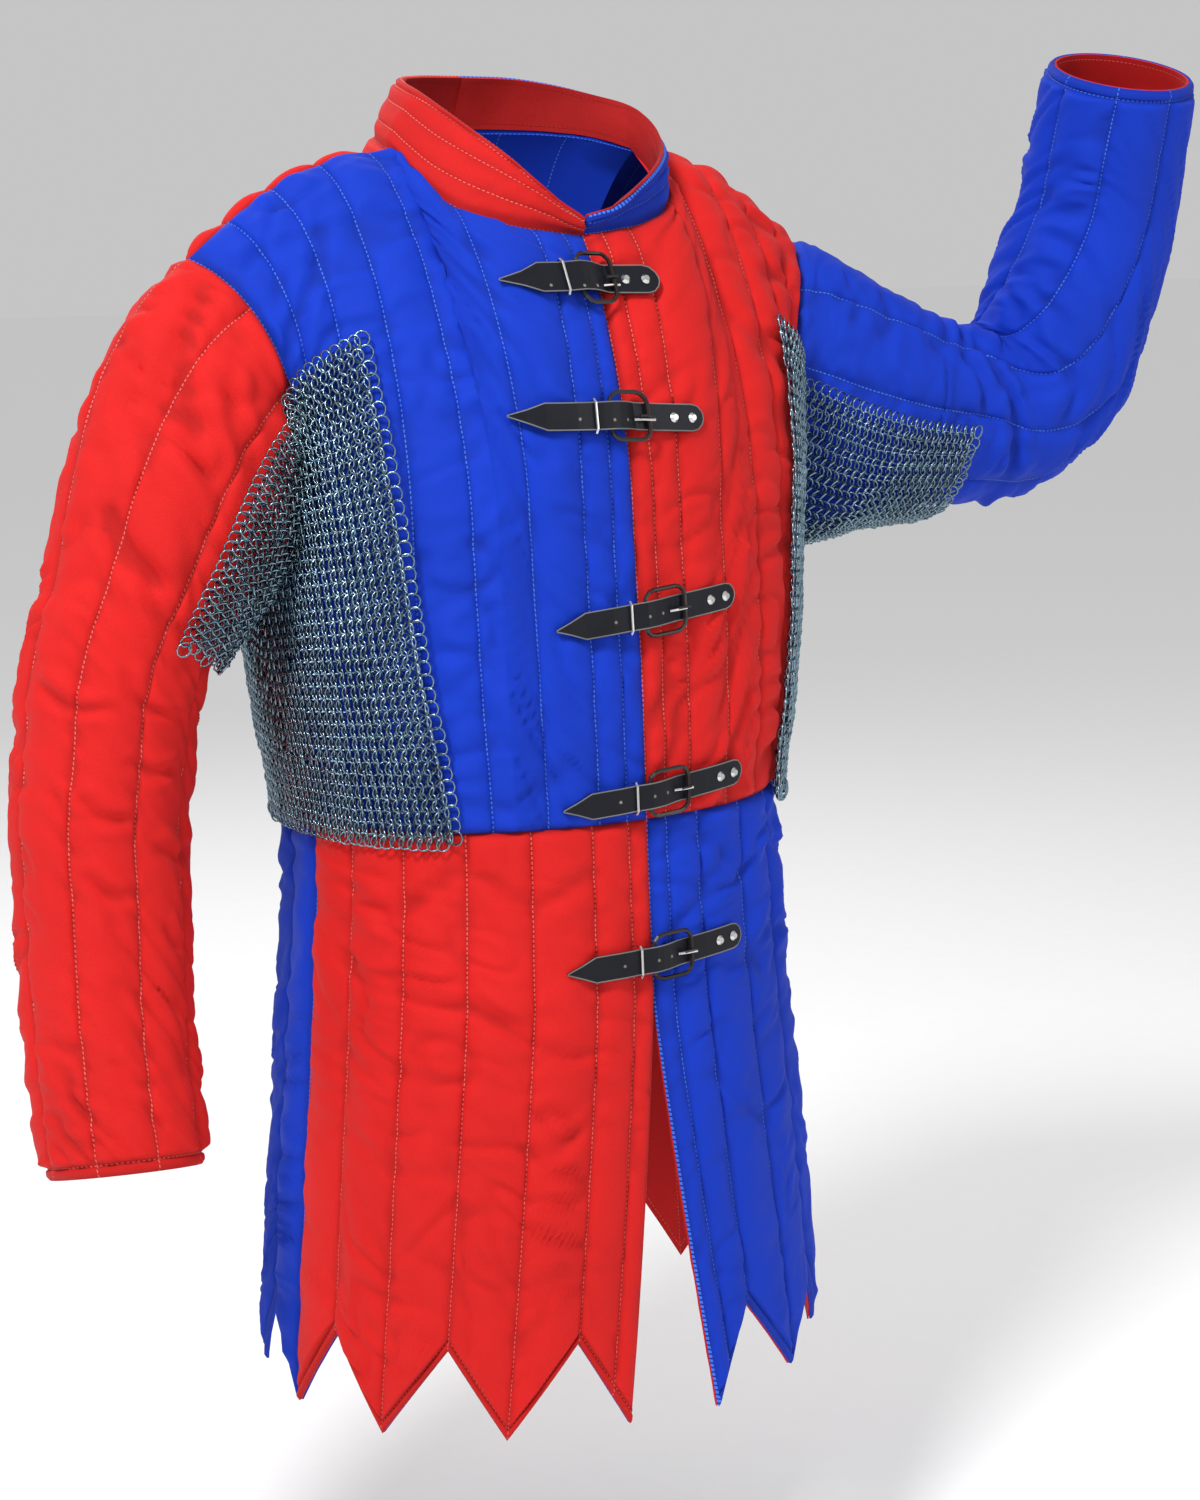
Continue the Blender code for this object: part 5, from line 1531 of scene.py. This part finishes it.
@dataclass
class Mail:
    """Mail at one armpit, laid on the CAD mail's surface."""

    side: Side
    sleeve: Sleeve
    look: bpy.types.Material
    outer: float = 0.0116
    wire: float = 0.0017
    pitch: float = 0.0073
    row: float = 0.0046
    lift: float = 0.0128
    lean: float = 34.0
    segments: int = 10
    sides: int = 3
    top: float = 6.2 / (ARMHOLE_STEPS + SIDE_STEPS)
    edge_top: float = 0.665
    edge_low: float = 0.530
    sleeve_width: float = 0.235
    sleeve_start: float = 0.010
    sleeve_end: float = 7.5 / SLEEVE_STEPS
    sleeve_round: tuple[float, float] = (0.275, 0.725)
    samples: int = 60

    def ring(self) -> tuple[np.ndarray, list]:
        """Spin the wire's section into one ring in its own plane.

        Returns:
            Points and faces.
        """
        bpy.ops.object.select_all(action="DESELECT")
        bpy.ops.mesh.primitive_circle_add(vertices=self.sides, radius=self.wire / 2,
                                          location=((self.outer - self.wire) / 2, 0.0, 0.0),
                                          rotation=(math.pi / 2, -math.pi / 2, 0.0))
        bpy.ops.object.transform_apply(location=True, rotation=True, scale=True)
        bpy.ops.object.mode_set(mode="EDIT")
        bpy.ops.mesh.select_all(action="SELECT")
        bpy.ops.mesh.spin(steps=self.segments, angle=2 * math.pi, center=(0.0, 0.0, 0.0),
                          axis=(0.0, 0.0, 1.0))
        bpy.ops.mesh.select_all(action="SELECT")
        bpy.ops.mesh.remove_doubles(threshold=1e-6)
        bpy.ops.mesh.normals_make_consistent(inside=False)
        bpy.ops.object.mode_set(mode="OBJECT")
        mesh = bpy.context.object.data
        points = np.array([vertex.co for vertex in mesh.vertices])
        faces = [tuple(face.vertices) for face in mesh.polygons]
        bpy.data.meshes.remove(mesh)
        return points, faces

    def edge(self, v: float) -> float:
        """Share across at which the mail starts, at a share down."""
        t = min(max((v - self.top) / (1 - self.top), 0.0), 1.0)
        return self.edge_top + (self.edge_low - self.edge_top) * t

    def body_guides(self) -> list[tuple[int, np.ndarray, np.ndarray]]:
        """Find where the body's rows run, on the +X side.

        Returns:
            Each row's number, line and normals.
        """
        lines = []
        shares = np.linspace(self.top, 1.0, 200)
        fall = arc(Upper(True).point(np.full(200, 0.8), shares)[:, None], 0)[:, 0]
        for k in range(int(fall[-1] / self.row) + 3):
            v = float(np.interp(k * self.row, fall, shares))
            drop = max(0.0, k * self.row - float(fall[-1]))
            u = np.linspace(self.edge(v), 1.0, self.samples)
            parts = []
            for front in (True, False):
                face = Upper(front)
                points = face.point(u, np.full(self.samples, v))
                away = points - face.point(u, np.full(self.samples, max(v - 0.02, 0)))
                normal = unit(np.cross(np.gradient(points, axis=0), away))
                if (normal[0, 1] > 0) == front:
                    normal = -normal
                parts.append((points + normal * self.lift - np.array([0.0, 0.0, drop]), normal))
            if v > CHEST_SHARE:
                joined = [np.concatenate([parts[0][i], parts[1][i][-2::-1]]) for i in (0, 1)]
                lines.append((k, *joined))
            else:
                lines += [(k, *part) for part in parts]
        return lines

    def sleeve_guides(self) -> list[tuple[int, np.ndarray, np.ndarray]]:
        """Find where the sleeve's rows run, on the +X side.

        Returns:
            Each row's number, line and normals.
        """
        rows = int(self.sleeve_width / self.row)
        first, last = self.sleeve_round
        s = np.linspace(self.sleeve_start, self.sleeve_end, self.samples)
        lines = []
        for k in range(rows + 1):
            points = self.sleeve.point(np.full(self.samples, first + (last - first) * k / rows), s)
            normal = unit(points - self.sleeve.frame(s)[0])
            lines.append((k, points + normal * (self.lift + 0.003), normal))
        return lines

    def build(self) -> None:
        """Build the rings on the body and on the sleeve."""
        for part, guides in (("body", self.body_guides()), ("sleeve", self.sleeve_guides())):
            self.rings(f"rings_{part}_{self.side.word}", guides)

    def rings(self, name: str, guides: list[tuple[int, np.ndarray, np.ndarray]]) -> None:
        """Set rings along guide lines, on the CAD mail's surface where that is near.

        Args:
            name: Name of the piece.
            guides: Row numbers, lines and their normals.
        """
        node = f"mail_{self.side.word}"
        flip = np.array([self.side.value, 1.0, 1.0])
        tree = surface_tree(node)
        shape, shape_faces = self.ring()
        vertices, faces = [], []
        random = np.random.RandomState(5)
        for number, guide, normals in guides:
            steps = np.linalg.norm(np.diff(guide, axis=0), axis=1)
            reach = np.concatenate([[0.0], np.cumsum(steps)])
            first = self.pitch * (0.25 + 0.5 * (number % 2))
            spots = list(np.arange(first, reach[-1] - 0.001, self.pitch))
            # Every second row ends in a loose ring at the mail's edge
            loose = [spots[0] - 0.0062, spots[-1] + 0.0062] if number % 2 == 0 else []
            for distance in spots + loose:
                at = min(max(distance, 0.0), reach[-1] - 0.003)
                spot, ahead, normal = (
                    np.array([np.interp(far, reach, line[:, k]) for k in range(3)]) * flip
                    for far, line in ((at, guide), (at + 0.003, guide), (at, normals)))
                offset = np.array(tree.find_nearest(Vector(spot))[0]) - spot
                rise = float(offset @ normal)
                sideways = float(np.linalg.norm(offset - rise * normal))
                blend = max(0.0, 1.0 - sideways / max(0.006, 0.8 * abs(rise)))
                along = unit(ahead - spot - normal * ((ahead - spot) @ normal))
                centre = spot + offset * blend + normal * 0.0006 + along * (distance - at)
                cross = np.cross(normal, along)
                lean = math.radians(self.lean + random.uniform(-7, 7)) * (1 if number % 2 else -1)
                size = 1.0 + random.uniform(-0.03, 0.03)
                if distance in loose:
                    size, lean = 1.12, 0.4 * lean + math.radians(random.uniform(-14, 14))
                leaning = along * math.cos(lean) + normal * math.sin(lean)
                axes = np.stack([size * leaning, size * cross, np.cross(leaning, cross)])
                faces += [tuple(len(vertices) + i for i in face) for face in shape_faces]
                vertices += (centre + shape @ axes).tolist()
        mesh = bpy.data.meshes.new(name)
        mesh.from_pydata(vertices, [], faces)
        mesh.materials.append(self.look)
        mesh.shade_smooth()
        piece = link_piece(name, mesh)
        declare(piece)
        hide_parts(node)
        LOG.info("%s: %d rings", name, len(vertices) // len(shape))


def tubes(name: str, paths: list[np.ndarray], radius: float, sides: int,
          look: bpy.types.Material) -> bpy.types.Object:
    """Build closed round rods along paths, as one mesh.

    Args:
        name: Name of the piece.
        paths: Points of each rod.
        radius: Radius of the rods.
        sides: Sides of their section.
        look: Material.

    Returns:
        The rods.
    """
    vertices, faces = [], []
    turn = 2 * math.pi * np.arange(sides) / sides
    for path in paths:
        ways = unit(np.gradient(path, axis=0))
        first = unit(np.cross(ways, np.array([0.31, 0.17, 0.93])))
        second = np.cross(ways, first)
        start = len(vertices)
        for point, a, b in zip(path, first, second):
            ring = point + radius * (np.cos(turn)[:, None] * a + np.sin(turn)[:, None] * b)
            vertices += ring.tolist()
        for i in range(len(path) - 1):
            for j in range(sides):
                k, after = start + i * sides, (j + 1) % sides
                faces.append((k + j, k + after, k + sides + after, k + sides + j))
        faces.append(tuple(start + j for j in range(sides))[::-1])
        faces.append(tuple(len(vertices) - sides + j for j in range(sides)))
    mesh = bpy.data.meshes.new(name)
    mesh.from_pydata(vertices, [], faces)
    mesh.materials.append(look)
    shell = bmesh.new()
    shell.from_mesh(mesh)
    bmesh.ops.recalc_face_normals(shell, faces=shell.faces)
    shell.to_mesh(mesh)
    shell.free()
    mesh.shade_smooth()
    mesh.set_sharp_from_angle(angle=math.radians(50))
    return link_piece(name, mesh)


@dataclass(frozen=True)
class Fastening:
    """Small details of one strap: its holes, its cut edge and the end of its prong."""

    number: int
    height: float
    centre: float
    tilt: float
    hole_radius: float = 0.0012
    edge_radius: float = 0.0005
    prong_radius: float = 0.0011

    def surface(self, names: tuple[str, ...],
                offset: float) -> tuple[np.ndarray, np.ndarray] | None:
        """Find the front of the fastening's nodes on its middle line.

        Args:
            names: Nodes to look at, without the number.
            offset: Position along the strap, from the buckle's middle.

        Returns:
            Point and its outward normal, or None where there is nothing.
        """
        x = self.centre + offset
        start = Vector((x, -0.6, self.height + x * math.tan(math.radians(self.tilt))))
        found = None
        for name in names:
            tree = surface_tree(f"{name}_{self.number}")
            point, normal, _, _ = tree.ray_cast(start, Vector((0.0, 1.0, 0.0)))
            if point is not None and (found is None or point.y < found[0][1]):
                found = (np.array(point), np.array(normal if normal.y < 0 else -normal))
        return found

    def holes(self, look: bpy.types.Material) -> None:
        """Build the punched holes as dark sunken plugs.

        Args:
            look: Their material.
        """
        spots = [self.surface(("strap",), offset) for offset in HOLE_OFFSETS]
        paths = [np.array([point - normal * 0.0004, point + normal * 0.00012])
                 for point, normal in filter(None, spots)]
        declare(tubes(f"strap_holes_{self.number}", paths, self.hole_radius, 12, look))

    def cut_edge(self, look: bpy.types.Material) -> None:
        """Build the paler line along the strap's cut front edge.

        Args:
            look: Its material.
        """
        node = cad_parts[f"strap_{self.number}"]
        shell = bmesh.new()
        shell.from_mesh(node.data)
        shell.transform(node.matrix_world)
        bmesh.ops.remove_doubles(shell, verts=shell.verts, dist=1e-5)
        shell.normal_update()
        paths = []
        for edge in shell.edges:
            if len(edge.link_faces) != 2 or edge.calc_face_angle() < math.radians(50):
                continue
            # Only the long edges between the strap's front and its sides
            normals = [face.normal for face in edge.link_faces]
            if min(normal.y for normal in normals) > -0.75 or edge.calc_length() < 0.0005:
                continue
            inward = -sum(normals, Vector()).normalized() * 0.00025
            paths.append(np.array([np.array(v.co + inward) for v in edge.verts]))
        shell.free()
        LOG.info("strap %d: %d edges", self.number, len(paths))
        if paths:
            declare(tubes(f"strap_edge_{self.number}", paths, self.edge_radius, 6, look))

    def prong_end(self, look: bpy.types.Material) -> None:
        """Build the prong's end, which lies over the frame's bar.

        Args:
            look: Its material.
        """
        inner = self.surface(("strap",), 0.0045)
        bar = self.surface(("buckle_frame", "strap"), 0.0170)
        if inner is None or bar is None:
            return
        start, end = inner[0] + inner[1] * 0.0002, bar[0] + bar[1] * 0.0009
        tip = end + unit(end - start) * 0.0026
        middle = (start + end) / 2 + inner[1] * 0.0009
        path = np.array([start, middle, end, tip])
        declare(tubes(f"prong_end_{self.number}", [path], self.prong_radius, 10, look))


def dress_fastenings(looks: dict[str, bpy.types.Material]) -> None:
    """Give the straps, frames, prongs, keepers and rivets their materials.

    Args:
        looks: Material of each slot.
    """
    kinds = {"strap": "leather", "chape": "leather", "buckle_frame": "black_enamel",
             "prong": "black_enamel", "keeper": "nickel", "rivet": "nickel"}
    for name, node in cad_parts.items():
        for start, slot in kinds.items():
            if name.startswith(start):
                node.data.materials.clear()
                node.data.materials.append(looks[slot])


@dataclass(frozen=True)
class Studio:
    """Pale floor, soft lights and the photograph's viewpoint."""

    floor_z: float = -1.16
    camera_place: tuple[float, float, float] = (-1.197, -1.918, -0.058)
    right: tuple[float, float, float] = (0.8331, -0.5528, -0.0189)
    up: tuple[float, float, float] = (0.1113, 0.1341, 0.9847)
    back: tuple[float, float, float] = (-0.5418, -0.8225, 0.1732)
    lens: float = 70.63

    def light(self, name: str, stand: tuple[float, float, float], size: float,
              power: float) -> None:
        """Add an area light aimed at the garment.

        Args:
            name: Name of the light.
            stand: Where it stands.
            size: Width of its disc.
            power: Power in watts.
        """
        lamp = bpy.data.lights.new(name, "AREA")
        lamp.shape = "DISK"
        lamp.size = size
        lamp.energy = power
        holder = bpy.data.objects.new(name, lamp)
        holder.location = stand
        aim = Vector((0.0, 0.0, -0.35)) - Vector(stand)
        holder.rotation_euler = aim.to_track_quat("-Z", "Y").to_euler()
        bpy.context.scene.collection.objects.link(holder)

    def build(self) -> None:
        """Build floor, lights, world and camera."""
        shell = bmesh.new()
        bmesh.ops.create_grid(shell, x_segments=2, y_segments=2, size=40.0)
        mesh = bpy.data.meshes.new("floor")
        shell.to_mesh(mesh)
        shell.free()
        mesh.materials.append(PAPER.material())
        floor = link_piece("floor", mesh)
        floor.location = (0.0, 0.0, self.floor_z)
        world = bpy.data.worlds.new("studio")
        world.use_nodes = True
        sky = world.node_tree.nodes["Background"]
        sky.inputs["Color"].default_value = (1.0, 1.0, 1.0, 1.0)
        sky.inputs["Strength"].default_value = 0.56
        bpy.context.scene.world = world
        self.light("key", (-2.1, -1.3, 2.1), 0.8, 110.0)
        self.light("fill", (1.6, -2.6, 0.6), 2.0, 18.0)
        self.light("back", (0.6, 2.6, 1.6), 2.0, 30.0)
        lens = bpy.data.cameras.new("camera")
        lens.lens = self.lens
        lens.sensor_width = 36.0
        holder = bpy.data.objects.new("camera", lens)
        axes = Matrix((self.right, self.up, self.back)).transposed()
        holder.matrix_world = Matrix.Translation(self.camera_place) @ axes.to_4x4()
        bpy.context.scene.collection.objects.link(holder)
        bpy.context.scene.camera = holder
        bpy.context.scene.view_settings.view_transform = "Standard"


def main() -> None:
    """Dress the whole garment."""
    logging.basicConfig(level=logging.INFO)
    finishes = {"cotton_blue": BLUE, "cotton_red": RED, "cotton_red_inside": SHADED_RED,
                "mail": MAIL, "leather": LEATHER, "black_enamel": ENAMEL, "nickel": NICKEL}
    looks = {slot: finish.material() for slot, finish in finishes.items()}
    for side in Side:
        builder = SideBuilder(side, looks)
        builder.body()
        builder.skirt()
        builder.sleeves()
        builder.collars()
        Mail(side, builder.sleeve, looks["mail"]).build()
    dress_fastenings(looks)
    edge_look, hole_look = EDGE_LEATHER.material(), HOLE_LEATHER.material()
    for row in FASTENINGS:
        fastening = Fastening(*row)
        fastening.holes(hole_look)
        fastening.cut_edge(edge_look)
        fastening.prong_end(looks["nickel"])
    Studio().build()


if __name__ == "__main__":
    main()
